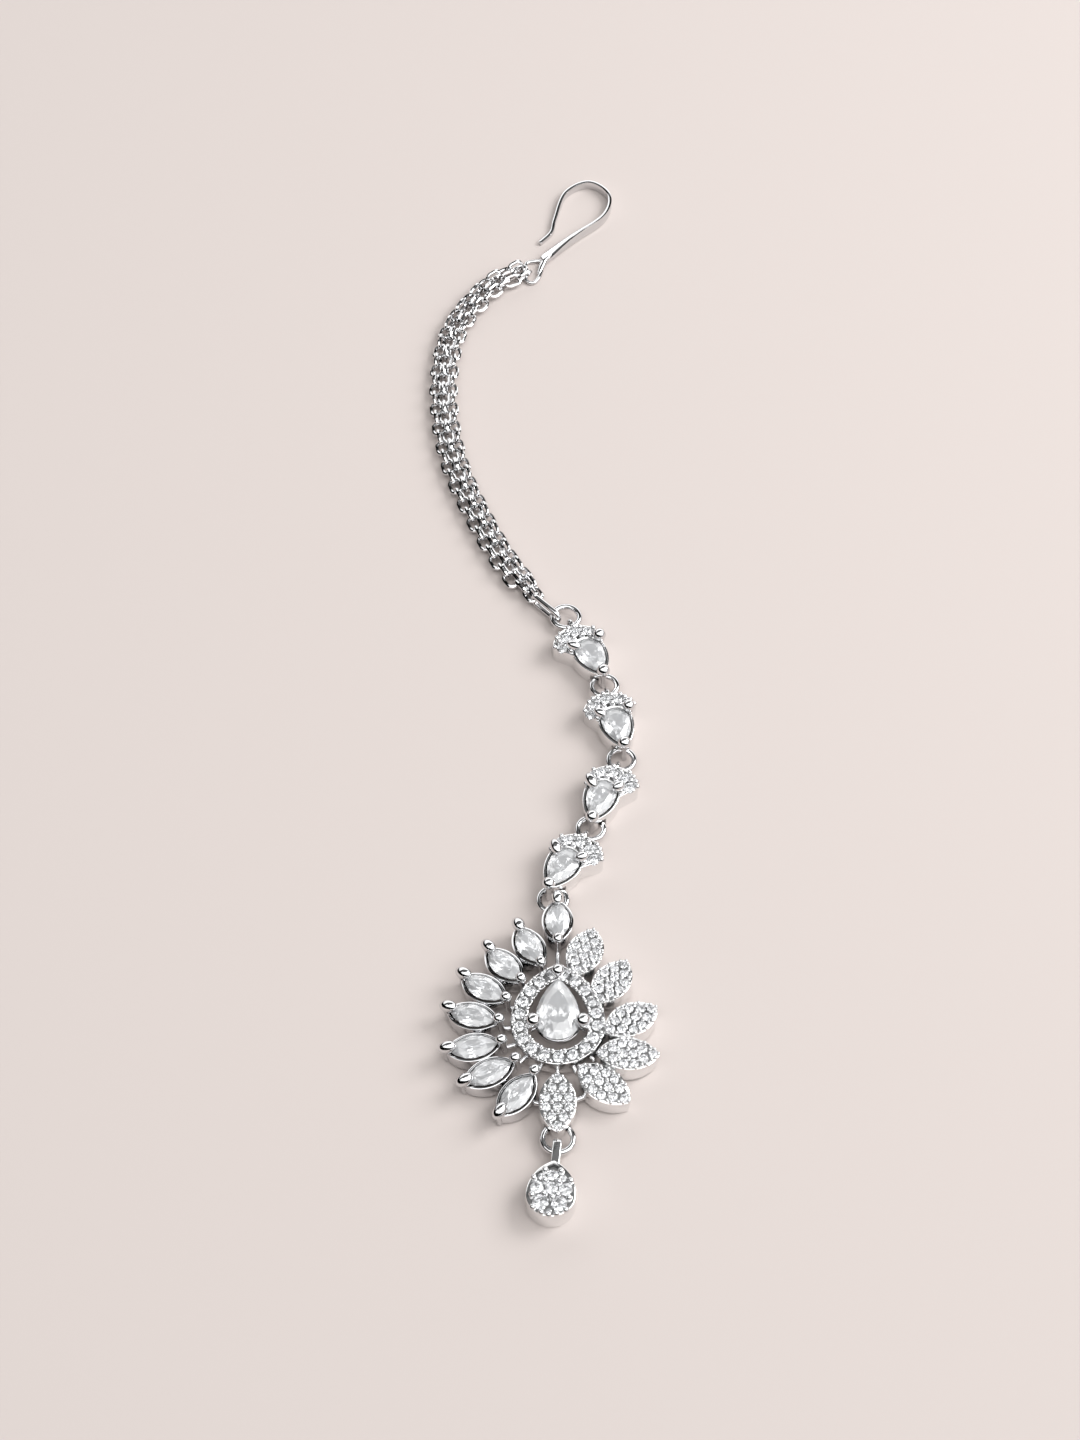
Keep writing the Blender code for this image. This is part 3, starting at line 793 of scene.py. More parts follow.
@dataclass(frozen=True)
class Basket:
    """An open-backed wall round a stone, with a sloped seat inside.

    Attributes:
        outline: The stone's outline.
        height: Top of the wall.
        collar: How far the wall stands outside the stone.
        rim: Width of its flat top.
        segments: Corners in its outline.
    """

    outline: Outline
    height: float
    collar: float = 0.42
    rim: float = 0.24
    segments: int = 48

    def build(self) -> Mesh:
        """Return the wall with its top edge softened."""
        out, top, lip = self.collar, self.height, self.collar - self.rim
        profile = (
            (out - 0.05, 0.0), (out, 0.06), (out, top - 0.10), (out - 0.03, top - 0.03),
            (out - 0.09, top), (lip + 0.02, top), (lip - 0.02, top - 0.04),
            (lip - 0.6, top - 0.8), (lip - 0.6, 0.0),
        )
        return shell(self.outline, profile, self.segments, ring=True)


@dataclass(frozen=True)
class Claw:
    """A post beside a stone, ending in a ball or bent over as a long rounded claw.

    Attributes:
        foot: Foot of the post.
        head: Middle of the rounded end.
        post: Half the post's thickness.
        end: Radius of the rounded end.
        reach: Vector from the head over the stone; its length is how long the claw is.
    """

    foot: Vector
    head: Vector
    post: float
    end: float
    reach: Vector = Vector()

    def build(self) -> Mesh:
        """Return the post and its rounded end."""
        way = (self.head - self.foot).normalized()
        neck = self.head - way * self.end * 0.75
        radii = [(self.post, self.post), (self.post, self.post),
                 (self.end * 0.72, self.end * 0.72)]
        stem = sweep([self.foot, self.foot.lerp(neck, 0.7), neck + way * self.end * 0.15],
                     radii, 14)
        if self.reach.length < 0.05:
            return joined([stem, ball(self.head, self.end)])
        over = self.reach.normalized() * (1.0 + self.reach.length / self.end / 2.0)
        return joined([stem, ball(self.head + self.reach / 2.0, self.end, over)])


# ------------------------------------------------------------------------------- the hook


@dataclass
class HairHook:
    """Hook of flat wire on edge, soldered to a D-shaped end ring."""

    route: tuple = ((0.4, 69.0), (2.0, 71.0), (2.5, 73.4), (4.0, 78.4), (7.3, 80.3),
                    (10.0, 77.8), (9.2, 73.6), (4.7, 69.4), (0.8, 65.4))
    thickness: float = 0.5
    width: float = 1.3
    tip_width: float = 0.55
    tip_share: float = 0.4
    shank_lean: float = 38.0
    soft: float = 0.09
    end_ring: tuple = ((0.8, 65.3), (0.3, 62.5), (-0.6, 61.4), (-1.5, 62.2), (-1.5, 64.9),
                       (-0.6, 65.5))
    end_wire: float = 0.28
    # the solder that spreads from the wire down the ring's right-hand side
    joint: tuple = ((1.9, 66.5, 0.5), (1.05, 65.45, 0.5), (0.6, 64.2, 0.42), (0.25, 62.9, 0.3))
    joint_sizes: tuple = ((0.26, 0.4), (0.48, 0.46), (0.46, 0.36), (0.24, 0.24))

    def build(self) -> None:
        """Make the wire and its ring."""
        count = 110
        path = Route(self.route).even(count)
        sizes, leans = [], []
        for i, point in enumerate(path):
            full = min(1.0, i / (count - 1) / self.tip_share)
            width = self.tip_width + (self.width - self.tip_width) * full
            sizes.append((self.thickness / 2.0, width / 2.0))
            shank = max(0.0, min(1.0, (i / (count - 1) - 0.6) / 0.4))
            leans.append(-self.shank_lean * shank)
            point.z = width / 2.0
        wire = strip(path, sizes, leans, self.soft)
        joint = sweep([Vector(p) for p in self.joint], self.joint_sizes, 12)
        loop = Route(self.end_ring, closed=True).even(48)
        for point in loop:
            point.z = self.end_wire
        ring = sweep(loop, [(self.end_wire, self.end_wire)] * len(loop), 12, closed=True)
        piece("hook_wire", joined([wire, ring, joint]), Finish.WIRE, ["hair_hook"])


# ------------------------------------------------------------------------------- the chain


@dataclass
class TripleChain:
    """Three cable chains side by side, their flat and upright links nested.

    Attributes:
        route: Middle line, from the hook's ring to the long jump ring.
        length: Outer length of a link.
        breadth: Outer width of a link.
        wire: Half its wire.
        spread: Distance between the middle lines of neighbouring chains.
        lean: Degrees by which the flat links of the outer chains lean outwards.
        phases: For each chain across, whether its first link lies flat and how far, in
            links, it starts after the first chain.
    """

    route: tuple = ((-1.7, 63.45), (-2.6, 62.7), (-6.2, 60.1), (-10.6, 53.0), (-12.1, 45.4),
                    (-11.9, 36.0), (-10.1, 26.7), (-6.3, 16.7), (-3.2, 10.5), (-0.9, 7.2),
                    (0.05, 5.7))
    length: float = 2.68
    breadth: float = 1.92
    wire: float = 0.245
    spread: float = 1.0
    lean: float = 20.0
    phases: tuple = ((-1, 1, 0.0), (0, 0, 0.0), (1, 1, 0.0))

    def places(self, strand: int, phase: int, shift: float, rows: int,
               route: Route) -> list[Matrix]:
        """Return where the links of one chain go.

        Args:
            strand: -1, 0 or 1 across the chain.
            phase: 0 if its first link lies flat, 1 if it stands on edge.
            shift: How far it starts after the others, in links.
            rows: Links along the chain.
            route: The chain's middle line.

        Returns:
            A matrix for each link, whose long axis is Y and whose face is Z.
        """
        pitch = route.length / rows
        found = []
        for k in range(rows):
            start = pitch * (k + (shift if k else 0.0))
            middle = route.at(start + 0.5 * pitch)
            along = (route.at(start + pitch) - route.at(start)).normalized()
            across = along.cross(UP)
            from_end = (rows - 0.5 - k) * pitch
            gather = 0.3 + 0.7 * min(1.0, max(0.0, (from_end - 0.8) / 3.2))
            flat = (k + phase) % 2 == 0
            roll = strand * self.lean + (0.0 if flat else 90.0)
            lift = self.breadth / 2.0 + (0.12 if strand == 0 and flat else 0.0)
            centre = middle + across * strand * self.spread * gather + UP * lift
            turn = Matrix((across, along, UP)).transposed().to_4x4()
            found.append(Matrix.Translation(centre) @ turn
                         @ Matrix.Rotation(math.radians(roll), 4, "Y"))
        return found

    def build(self) -> None:
        """Make all the links."""
        route = Route(self.route)
        rows = round(route.length / (self.length - 4.0 * self.wire))
        spots = [m for phase in self.phases for m in self.places(*phase, rows, route)]
        link = oval_ring(self.length, self.breadth, self.wire, 16, 8)
        LOG.info("chain: %d links in %d rows, %.1f mm", len(spots), rows, route.length)
        piece("chain_links", copies(link, spots), Finish.WIRE, ["chain"])


@dataclass
class JumpRings:
    """Closed wire rings between the parts.

    Attributes:
        wire: Half the wire's thickness.
        lie: Height of the middle of the flat rings.
        long_ends: The two ends of the long ring that stands on edge.
        long_height: Distance between the long ring's two bars.
    """

    wire: float = 0.36
    lie: float = 0.97
    long_ends: tuple = ((-0.35, 5.55), (2.75, 2.3))
    long_height: float = 1.4

    def flat(self, name: str, centre: Vector, radius: float, node: str) -> None:
        """Make one flat ring."""
        ring = wire_ring(radius, self.wire, 48, 14)
        piece(name, moved(ring, Matrix.Translation(centre.xy.to_3d() + UP * self.lie)),
              Finish.WIRE, [node])

    def long(self) -> None:
        """Make the long ring on edge."""
        start, end = (Vector(p).to_3d() for p in self.long_ends)
        along = (end - start).normalized()
        ring = oval_ring((end - start).length + 2.0 * self.wire,
                         self.long_height + 2.0 * self.wire, self.wire, 48, 14)
        turn = Matrix((UP, along, UP.cross(along))).transposed().to_4x4()
        middle = (start + end) / 2.0 + UP * (self.long_height / 2.0 + self.wire)
        piece("jump_ring_long", moved(ring, Matrix.Translation(middle) @ turn), Finish.WIRE,
              ["chain_ring"])


# ------------------------------------------------------------------------------- the links


@dataclass
class PearLink:
    """A pear stone in a basket, with a pave crown round its head and an eyelet behind.

    Attributes:
        number: Its place from the chain down.
        post_at: Plan place of the claw at its tip.
        heading: Compass degrees its tip points to.
        lean: How far its crown leans to one side.
        crown_stones: Degrees round the head and radius of each crown stone.
        claw_sizes: Radius and reach of the left claw, the right claw and the one at its tip.
    """

    number: int
    post_at: tuple[float, float]
    heading: float
    lean: float
    crown_stones: tuple
    claw_sizes: tuple
    stone: Outline = Outline(OutlineKind.PEAR, 1.75, 3.75)
    tip_reach: float = 4.25
    seat: float = 2.25
    flank_top: float = 2.0
    crown_top: float = 2.45
    crown_radius: float = 3.4
    crown_back: float = 0.8
    lobe: float = 0.9
    eyelet_reach: float = 4.7

    @property
    def frame(self) -> Matrix:
        """Return the matrix from the link's own frame, its tip along +Y, to the model."""
        middle = Vector(self.post_at).to_3d() - polar(self.tip_reach, self.heading)
        turn = Matrix.Rotation(math.radians(self.heading - 90.0), 4, "Z")
        return Matrix.Translation(middle) @ turn

    @property
    def middle(self) -> Vector:
        """Return the middle of its round end in the model."""
        return self.frame.translation

    @property
    def tip(self) -> Vector:
        """Return the plan place of its tip post."""
        return Vector(self.post_at).to_3d()

    def block(self, corners: Sequence[tuple[float, float]], low: float, top: float,
              soft: float) -> Mesh:
        """Return a block over the crown's arc and some corners towards the tip.

        Args:
            corners: Plan corners that close the outline, in order after the arc.
            low: Its underside.
            top: Its top.
            soft: Width of the rounding along its top edge.

        Returns:
            The closed block.
        """
        side = 1.0 if self.lean > 0.0 else -1.0
        centre = Vector((self.lean, -self.crown_back, low))
        inner = centre + polar(self.crown_radius - self.lobe, 327.0)
        bm = bmesh.new()
        first = last = bm.verts.new(centre + polar(self.crown_radius, 195.0))
        for hub, angle, steps in ((centre, 132.0, 26), (inner, 80.0, 10)):
            out = bmesh.ops.spin(bm, geom=[last], cent=hub, axis=(0.0, 0.0, 1.0),
                                 dvec=(0.0, 0.0, 0.0), angle=math.radians(angle), steps=steps,
                                 use_merge=False, use_duplicate=False)
            last = next(g for g in out["geom_last"] if isinstance(g, bmesh.types.BMVert))
        if side < 0.0:
            for vert in bm.verts:
                vert.co.x = 2.0 * self.lean - vert.co.x
        for x, y in corners:
            following = bm.verts.new((side * x, y, low))
            bm.edges.new((last, following))
            last = following
        bm.edges.new((last, first))
        bmesh.ops.contextual_create(bm, geom=bm.edges[:])
        out = bmesh.ops.extrude_face_region(bm, geom=bm.faces[:])
        verts, edges = new_parts(out)
        bmesh.ops.translate(bm, vec=UP * (top - low), verts=verts)
        bmesh.ops.bevel(bm, geom=edges, offset=soft, offset_type="OFFSET", affect="EDGES",
                        segments=2, profile=0.5, material=-1)
        bmesh.ops.recalc_face_normals(bm, faces=bm.faces)
        return bm

    def build(self, ring_cut: Mesh, eyelet: Vector) -> None:
        """Make the link's metal, crown stones and main stone.

        Args:
            ring_cut: Cutter, in the model's frame, that clears the ring at its tip.
            eyelet: Plan place of its eyelet in the model.
        """
        place = self.frame
        name = f"link_{self.number}"
        pave = self.pave()
        solid = []
        for corners, low, top, cuts in (
                (((self.stone.half, 0.6), (0.0, 1.0)), 0.0, self.crown_top, [pave.wells()]),
                (((1.45, 2.5), (0.0, 1.0)), 0.02, self.flank_top, [])):
            well = shell(self.stone, ((0.30, -1.0), (0.30, top + 1.0)), 48, ring=False)
            solid.append(carved(self.block(corners, low, top, 0.09), joined([well] + cuts)))
        walls = joined([Basket(self.stone, self.seat).build()] + solid)
        walls = carved(moved(walls, place), ring_cut)
        piece(f"{name}_setting", walls, Finish.CAST_WALL, [f"pear_link_{self.number}"])

        shapes = [moved(claw.build(), place) for claw in self.claws()]
        shapes.append(moved(pave.beads(), place))
        towards = (eyelet - self.middle).normalized()
        hoop = wire_ring(0.74, 0.29, 28, 10)
        stand = Matrix((towards, UP, towards.cross(UP))).transposed().to_4x4()
        centre = eyelet.xy.to_3d() + UP * 0.97
        shapes.append(moved(hoop, Matrix.Translation(centre) @ stand))
        stem = centre - towards * 0.72
        shapes.append(sweep([stem - towards * 1.1, stem], [(0.28, 0.28)] * 2, 10))
        piece(f"{name}_claws", joined(shapes), Finish.BUFFED)

        piece(f"{name}_pave", moved(pave.stones(), place), Finish.ZIRCONIA, flat=True)
        cut = StoneCut(self.stone, 16, 0.55, 0.17, 0.42)
        place = place @ Matrix.Translation(UP * self.seat)
        piece(f"{name}_stone", moved(cut.build(), place), Finish.LARGE_ZIRCONIA,
              [f"pear_stone_{self.number}"], flat=True)
        piece(f"{name}_foil", moved(cut.foil(), place), Finish.FOIL, flat=True)

    def claws(self) -> list[Claw]:
        """Return its two shoulder claws and the one at its tip."""
        shoulder = self.stone.half + 0.12 + 0.33
        rise = UP * (self.seat + 0.92)
        found = []
        for angle, (end, over) in zip((-30.0, 210.0), self.claw_sizes):
            post = polar(shoulder, angle)
            reach = (self.stone.middle() - post).normalized() * over - UP * 0.1 * over
            found.append(Claw(post + UP * 0.1, post * 0.99 + rise, 0.33, end, reach))
        post = Vector((0.0, self.tip_reach, 0.0))
        found.append(Claw(post + UP * 0.1, post * 0.98 + rise, 0.33, self.claw_sizes[2][0]))
        return found

    def crown_reach(self, angle: float) -> float:
        """Return how far the crown's edge is from the middle in a direction."""
        way = polar(1.0, angle)
        back = Vector((self.lean, -self.crown_back, 0.0))
        along = way.dot(back)
        return along + math.sqrt(along ** 2 - back.length_squared + self.crown_radius ** 2)

    def pave(self) -> Pave:
        """Return the crown's stones and beads."""
        side = 1.0 if self.lean > 0.0 else -1.0
        inside = self.stone.half + 0.34
        seats = []
        for angle, radius in self.crown_stones:
            turn = angle if side > 0.0 else 180.0 - angle
            middle = (inside + self.crown_reach(turn)) / 2.0
            seats.append(Seat(polar(middle, turn, self.crown_top), radius))
        edge = []
        for angle in range(196, 345, 13):
            out = polar(self.crown_radius - 0.22, angle)
            edge.append(Vector((self.lean + side * out.x, out.y - self.crown_back,
                                self.crown_top)))
        edge += [polar(inside + 0.12, angle, self.crown_top) for angle in range(200, 345, 18)]
        return Pave(seats, 0.34, edge)


# ------------------------------------------------------------------------------- medallion


class PetalKind(Enum):
    """The two kinds of petal."""

    STONE = "one marquise stone in a basket"
    PAVE = "a solid leaf set with pave"


@dataclass(frozen=True)
class Petal:
    """One petal of the medallion.

    Attributes:
        name: Its name.
        kind: What fills it.
        bearing: Compass degrees from the halo's middle to its own.
        distance: Distance between those middles.
        heading: Compass degrees its outer tip points to.
        number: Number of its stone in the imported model, 0 for none.
    """

    name: str
    kind: PetalKind
    bearing: float
    distance: float
    heading: float
    number: int = 0

    def frame(self, hub: Vector, tilt: float, reach: float) -> Matrix:
        """Return the matrix from the petal's own frame, outer tip along +Y, to the model."""
        middle = hub + polar(self.distance, self.bearing)
        rise = UP * reach * math.sin(math.radians(tilt))
        turn = Matrix.Rotation(math.radians(self.heading - 90.0), 4, "Z")
        return Matrix.Translation(middle + rise) @ turn @ Matrix.Rotation(
            math.radians(-tilt), 4, "X")


@dataclass
class Medallion:
    """Halo round a raised pear stone, with fourteen petals soldered round it."""

    hub: Vector = field(default_factory=lambda: Vector((2.45, -56.85, 0.0)))
    halo: Outline = Outline(OutlineKind.PEAR, 5.3, 7.75)
    band: float = 1.85
    low: float = 0.9
    top: float = 2.85
    centre: Outline = Outline(OutlineKind.PEAR, 2.45, 5.5)
    girdle: float = 3.35
    marquise: Outline = Outline(OutlineKind.MARQUISE, 1.42, 2.75)
    basket_height: float = 1.95
    leaf: Outline = Outline(OutlineKind.MARQUISE, 2.1, 3.6)
    leaf_height: float = 2.2
    tilt: float = 7.0
    reach: float = 3.65
    halo_stones: int = 19
    halo_radius: float = 0.68
    # along the leaf from its inner end: distance from the middle, and how many stones
    leaf_rows: tuple = ((-2.78, 1), (-1.72, 2), (-0.58, 3), (0.58, 3), (1.72, 2), (2.78, 1))
    leaf_pitch: float = 1.26
    leaf_radius: float = 0.55
    petals: tuple = (
        Petal("top", PetalKind.STONE, 90.0, 13.65, 90.0, 1),
        Petal("left_1", PetalKind.STONE, 107.0, 10.75, 115.0, 2),
        Petal("left_2", PetalKind.STONE, 127.5, 9.75, 128.0, 3),
        Petal("left_3", PetalKind.STONE, 150.0, 9.4, 143.0, 4),
        Petal("left_4", PetalKind.STONE, 173.0, 9.4, 160.0, 5),
        Petal("left_5", PetalKind.STONE, 197.0, 9.6, 185.0, 6),
        Petal("left_6", PetalKind.STONE, 219.0, 9.55, 203.0, 7),
        Petal("left_7", PetalKind.STONE, 243.0, 9.75, 231.0, 8),
        Petal("right_1", PetalKind.PAVE, 72.0, 9.75, 72.5),
        Petal("right_2", PetalKind.PAVE, 42.0, 8.0, 60.0),
        Petal("right_3", PetalKind.PAVE, 3.5, 7.95, 33.0),
        Petal("right_4", PetalKind.PAVE, -27.0, 8.4, 3.0),
        Petal("right_5", PetalKind.PAVE, -57.5, 8.9, -36.0),
        Petal("right_6", PetalKind.PAVE, -90.5, 9.65, -90.0),
    )

    def frame(self, petal: Petal) -> Matrix:
        """Return a petal's frame."""
        return petal.frame(self.hub, self.tilt, self.reach)

    def post(self, petal: Petal) -> Vector:
        """Return the place of a marquise basket's outer post."""
        return self.frame(petal) @ Vector((0.0, self.marquise.tip + 0.42, 0.0))

    def build_halo(self) -> None:
        """Make the halo band, its stones and its beads."""
        place = Matrix.Translation(self.hub)
        line = self.halo.spread(self.halo_stones, -self.band / 2.0, 0.775)
        edge = [p + UP * self.top for grow in (-0.2, 0.2 - self.band)
                for p, _ in self.halo.spread(2 * self.halo_stones, grow, 0.76)]
        pave = Pave([Seat(p + UP * self.top, self.halo_radius) for p, _ in line], 0.23, edge,
                    aside=0.68)
        inner = -self.band
        profile = (
            (-0.05, self.low), (0.0, self.low + 0.06), (0.0, self.top - 0.12),
            (-0.04, self.top - 0.03), (-0.12, self.top), (inner + 0.12, self.top),
            (inner + 0.04, self.top - 0.03), (inner, self.top - 0.12),
            (inner, self.low + 0.06), (inner + 0.05, self.low),
        )
        band = carved(shell(self.halo, profile, 96, ring=True), pave.wells())
        piece("halo_band", moved(band, place), Finish.CAST_WALL, ["medallion"])
        piece("halo_beads", moved(pave.beads(), place), Finish.BUFFED)
        piece("halo_pave", moved(pave.stones(), place), Finish.ZIRCONIA, flat=True)

    def build_centre(self) -> None:
        """Make the centre stone, its collet, its claws and their brackets."""
        place = Matrix.Translation(self.hub)
        rail = shell(self.centre, ((0.0, 2.15), (0.12, 2.96), (0.08, 3.0), (-0.10, 3.0),
                                   (-0.14, 2.96), (-0.7, 2.15)), 48, ring=True)
        shapes = [rail]
        for side in (-1.0, 1.0):
            foot = Vector((side * 3.6, -0.55, 1.6))
            head = Vector((side * 2.75, -0.5, 4.2))
            shapes.append(Claw(foot, head, 0.42, 0.87).build())
            seat = Vector((side * 2.3, -0.3, 2.55))
            shapes.append(sweep([foot, seat], [(0.33, 0.33)] * 2, 12))
        shapes.append(Claw(Vector((0.0, 6.5, 1.6)), Vector((0.0, 6.35, 3.7)), 0.40,
                           0.77).build())
        piece("centre_claws", moved(joined(shapes), place), Finish.BUFFED)
        cut = StoneCut(self.centre, 24, 0.54, 0.17, 0.42)
        place = Matrix.Translation(self.hub + UP * self.girdle)
        piece("centre_stone_cut", moved(cut.build(), place), Finish.LARGE_ZIRCONIA, ["centre_stone"],
              flat=True)
        piece("centre_foil", moved(cut.foil(), place), Finish.FOIL, flat=True)

    def build_stone_petal(self, petal: Petal, ring_cut: Callable[[], Mesh] | None) -> None:
        """Make a basket with its two claws and its stone.

        Args:
            petal: Which petal.
            ring_cut: Makes the cutter that clears the jump ring, if one passes here.
        """
        place = self.frame(petal)
        top = self.basket_height
        wall = moved(Basket(self.marquise, top, segments=40).build(), place)
        if ring_cut:
            wall = carved(wall, ring_cut())
        end = self.marquise.tip + 0.42
        outer = Claw(Vector((0.0, end, 0.1)), Vector((0.0, end - 0.02, top + 0.66)), 0.34, 0.73,
                     Vector((0.0, -0.66, 0.14)))
        inner = Claw(Vector((0.0, -end - 0.22, 0.1)), Vector((0.0, -end - 0.15, top + 0.78)), 0.34, 0.62,
                     Vector((0.0, 0.12, 0.0)))
        shapes = [wall, moved(outer.build(), place), moved(inner.build(), place)]
        piece(f"petal_{petal.name}_basket", joined(shapes), Finish.BUFFED)
        cut = StoneCut(self.marquise, 12, 0.54, 0.16, 0.42)
        place = place @ Matrix.Translation(UP * top)
        piece(f"petal_{petal.name}_stone", moved(cut.build(), place), Finish.LARGE_ZIRCONIA,
              [f"marquise_stone_{petal.number}"], flat=True)
        piece(f"petal_{petal.name}_foil", moved(cut.foil(), place), Finish.FOIL, flat=True)

    def build_pave_petal(self, petal: Petal, ring_cut: Callable[[], Mesh] | None) -> None:
        """Make a leaf with its wells, stones and beads.

        Args:
            petal: Which petal.
            ring_cut: Makes the cutter that clears the jump ring, if one passes here.
        """
        place = self.frame(petal)
        top = self.leaf_height
        seats = [Seat(Vector(((k - (count - 1) / 2.0) * self.leaf_pitch, y, top)),
                      self.leaf_radius)
                 for y, count in self.leaf_rows for k in range(count)]
        edge = [p + UP * top for p, _ in self.leaf.spread(24, -0.2, 0.0)]
        pave = Pave(seats, 0.22, edge, aside=0.56)
        profile = ((-0.05, 0.0), (0.0, 0.06), (0.0, top - 0.12), (-0.03, top - 0.03),
                   (-0.11, top))
        leaf = carved(shell(self.leaf, profile, 48, ring=False), pave.wells())
        leaf = moved(leaf, place)
        if ring_cut:
            leaf = carved(leaf, ring_cut())
        piece(f"petal_{petal.name}_leaf", leaf, Finish.CAST_WALL)
        piece(f"petal_{petal.name}_beads", moved(pave.beads(), place), Finish.BUFFED)
        piece(f"petal_{petal.name}_pave", moved(pave.stones(), place), Finish.ZIRCONIA,
              flat=True)

    def build_struts(self) -> None:
        """Make the soldered bars between the halo and the petals."""
        line = [self.hub + self.halo.point(i / 180.0, -self.band / 2.0) for i in range(180)]
        shapes = []
        for petal in self.petals:
            outline = self.marquise if petal.kind is PetalKind.STONE else self.leaf
            inner = self.frame(petal) @ Vector((0.0, 0.2 - outline.tip, 0.0))
            inner = inner.xy.to_3d() + UP * 1.2
            anchor = min(line, key=lambda p: (p.xy - inner.xy).length).xy.to_3d() + UP * 1.2
            if (anchor - inner).length > 0.42:
                shapes.append(sweep([inner, anchor], [(0.27, 0.36)] * 2, 14))
        by_name = {petal.name: petal for petal in self.petals}
        for first, second in (("left_7", "right_6"), ("right_6", "right_5")):
            a, b = (self.frame(by_name[n]).translation.xy.to_3d() + UP * 0.9
                    for n in (first, second))
            shapes.append(sweep([a.lerp(b, 0.25), a.lerp(b, 0.75)], [(0.28, 0.34)] * 2, 14))
        piece("petal_struts", joined(shapes), Finish.BUFFED)

    def build(self, pendant_cut: Callable[[], Mesh], drop_cut: Callable[[], Mesh]) -> None:
        """Make the whole medallion.

        Args:
            pendant_cut: Makes the cutter for the ring at the top petal.
            drop_cut: Makes the cutter for the ring at the bottom petal.
        """
        self.build_halo()
        self.build_centre()
        self.build_struts()
        cuts = {"top": pendant_cut, "right_6": drop_cut}
        for petal in self.petals:
            if petal.kind is PetalKind.STONE:
                self.build_stone_petal(petal, cuts.get(petal.name))
            else:
                self.build_pave_petal(petal, cuts.get(petal.name))


# ------------------------------------------------------------------------------- the drop


@dataclass
class Teardrop:
    """Solid teardrop set with small stones, with a strap loop over its ring."""

    centre: tuple[float, float] = (1.6, -78.0)
    heading: float = 84.5
    outline: Outline = Outline(OutlineKind.PEAR, 2.7, 4.1)
    height: float = 2.6
    ring_at: tuple[float, float] = (2.4, -70.45)
    ring_radius: float = 1.68
    ring_lie: float = 0.97
    # across, along and radius of each stone
    stones: tuple = ((0.0, 2.25, 0.66), (-1.55, 0.68, 0.78), (0.0, 0.74, 0.74),
                     (1.55, 0.68, 0.78), (-1.0, -1.06, 0.94), (1.0, -1.06, 0.94),
                     (-1.16, 1.98, 0.42), (1.16, 1.98, 0.42), (0.0, -2.12, 0.38))
    strap_up: float = 0.9
    strap_down: float = 1.6
    strap_radius: float = 0.72

    def build(self) -> None:
        """Make the drop."""
        turn = Matrix.Rotation(math.radians(self.heading - 90.0), 4, "Z")
        place = Matrix.Translation(Vector(self.centre).to_3d()) @ turn
        edge = [p + UP * self.height for p, _ in self.outline.spread(9, -0.16, 0.8)]
        pave = Pave([Seat(Vector((x, y, self.height)), r) for x, y, r in self.stones], 0.37,
                    edge, aside=0.74)
        top = self.height
        profile = ((-0.05, 0.0), (0.0, 0.06), (0.0, top - 0.14), (-0.04, top - 0.04),
                   (-0.14, top))
        body = carved(shell(self.outline, profile, 64, ring=False), pave.wells())
        ring = place.inverted() @ Vector(self.ring_at).to_3d()
        wire_y = ring.y - self.ring_radius
        knots = []
        for end_y, first in ((wire_y + self.strap_up, -90.0), (wire_y - self.strap_down, 90.0)):
            for i in range(9):
                out = polar(self.strap_radius, first + 22.5 * i)
                knots.append(Vector((ring.x, end_y + out.x, self.ring_lie + out.y)))
        body = joined([body, self.strap(knots)])
        piece("drop_body", moved(body, place), Finish.CAST_WALL, ["drop"])
        piece("drop_beads", moved(pave.beads(), place), Finish.BUFFED)
        piece("drop_pave", moved(pave.stones(), place), Finish.ZIRCONIA, flat=True)

    def strap(self, knots: list[Vector]) -> Mesh:
        """Return a flat band bent round those points.

        Args:
            knots: Points in one upright plane.

        Returns:
            The closed band.
        """
        bm = bmesh.new()
        half, thick = 0.5, 0.2
        made = [bm.verts.new(k - Vector((half, 0.0, 0.0))) for k in knots]
        for a, b in zip(made, made[1:] + made[:1]):
            bm.edges.new((a, b))
        out = bmesh.ops.extrude_edge_only(bm, edges=bm.edges[:])
        verts, _ = new_parts(out)
        bmesh.ops.translate(bm, vec=(2.0 * half, 0.0, 0.0), verts=verts)
        bmesh.ops.recalc_face_normals(bm, faces=bm.faces)
        bmesh.ops.solidify(bm, geom=bm.faces[:], thickness=2.0 * thick)
        bmesh.ops.recalc_face_normals(bm, faces=bm.faces)
        sides = [e for e in bm.edges if e.calc_face_angle() > math.radians(60.0)]
        bmesh.ops.bevel(bm, geom=sides, offset=0.14, offset_type="OFFSET", affect="EDGES",
                        segments=3, profile=0.5, material=-1)
        return bm


# ------------------------------------------------------------------------------- assembly


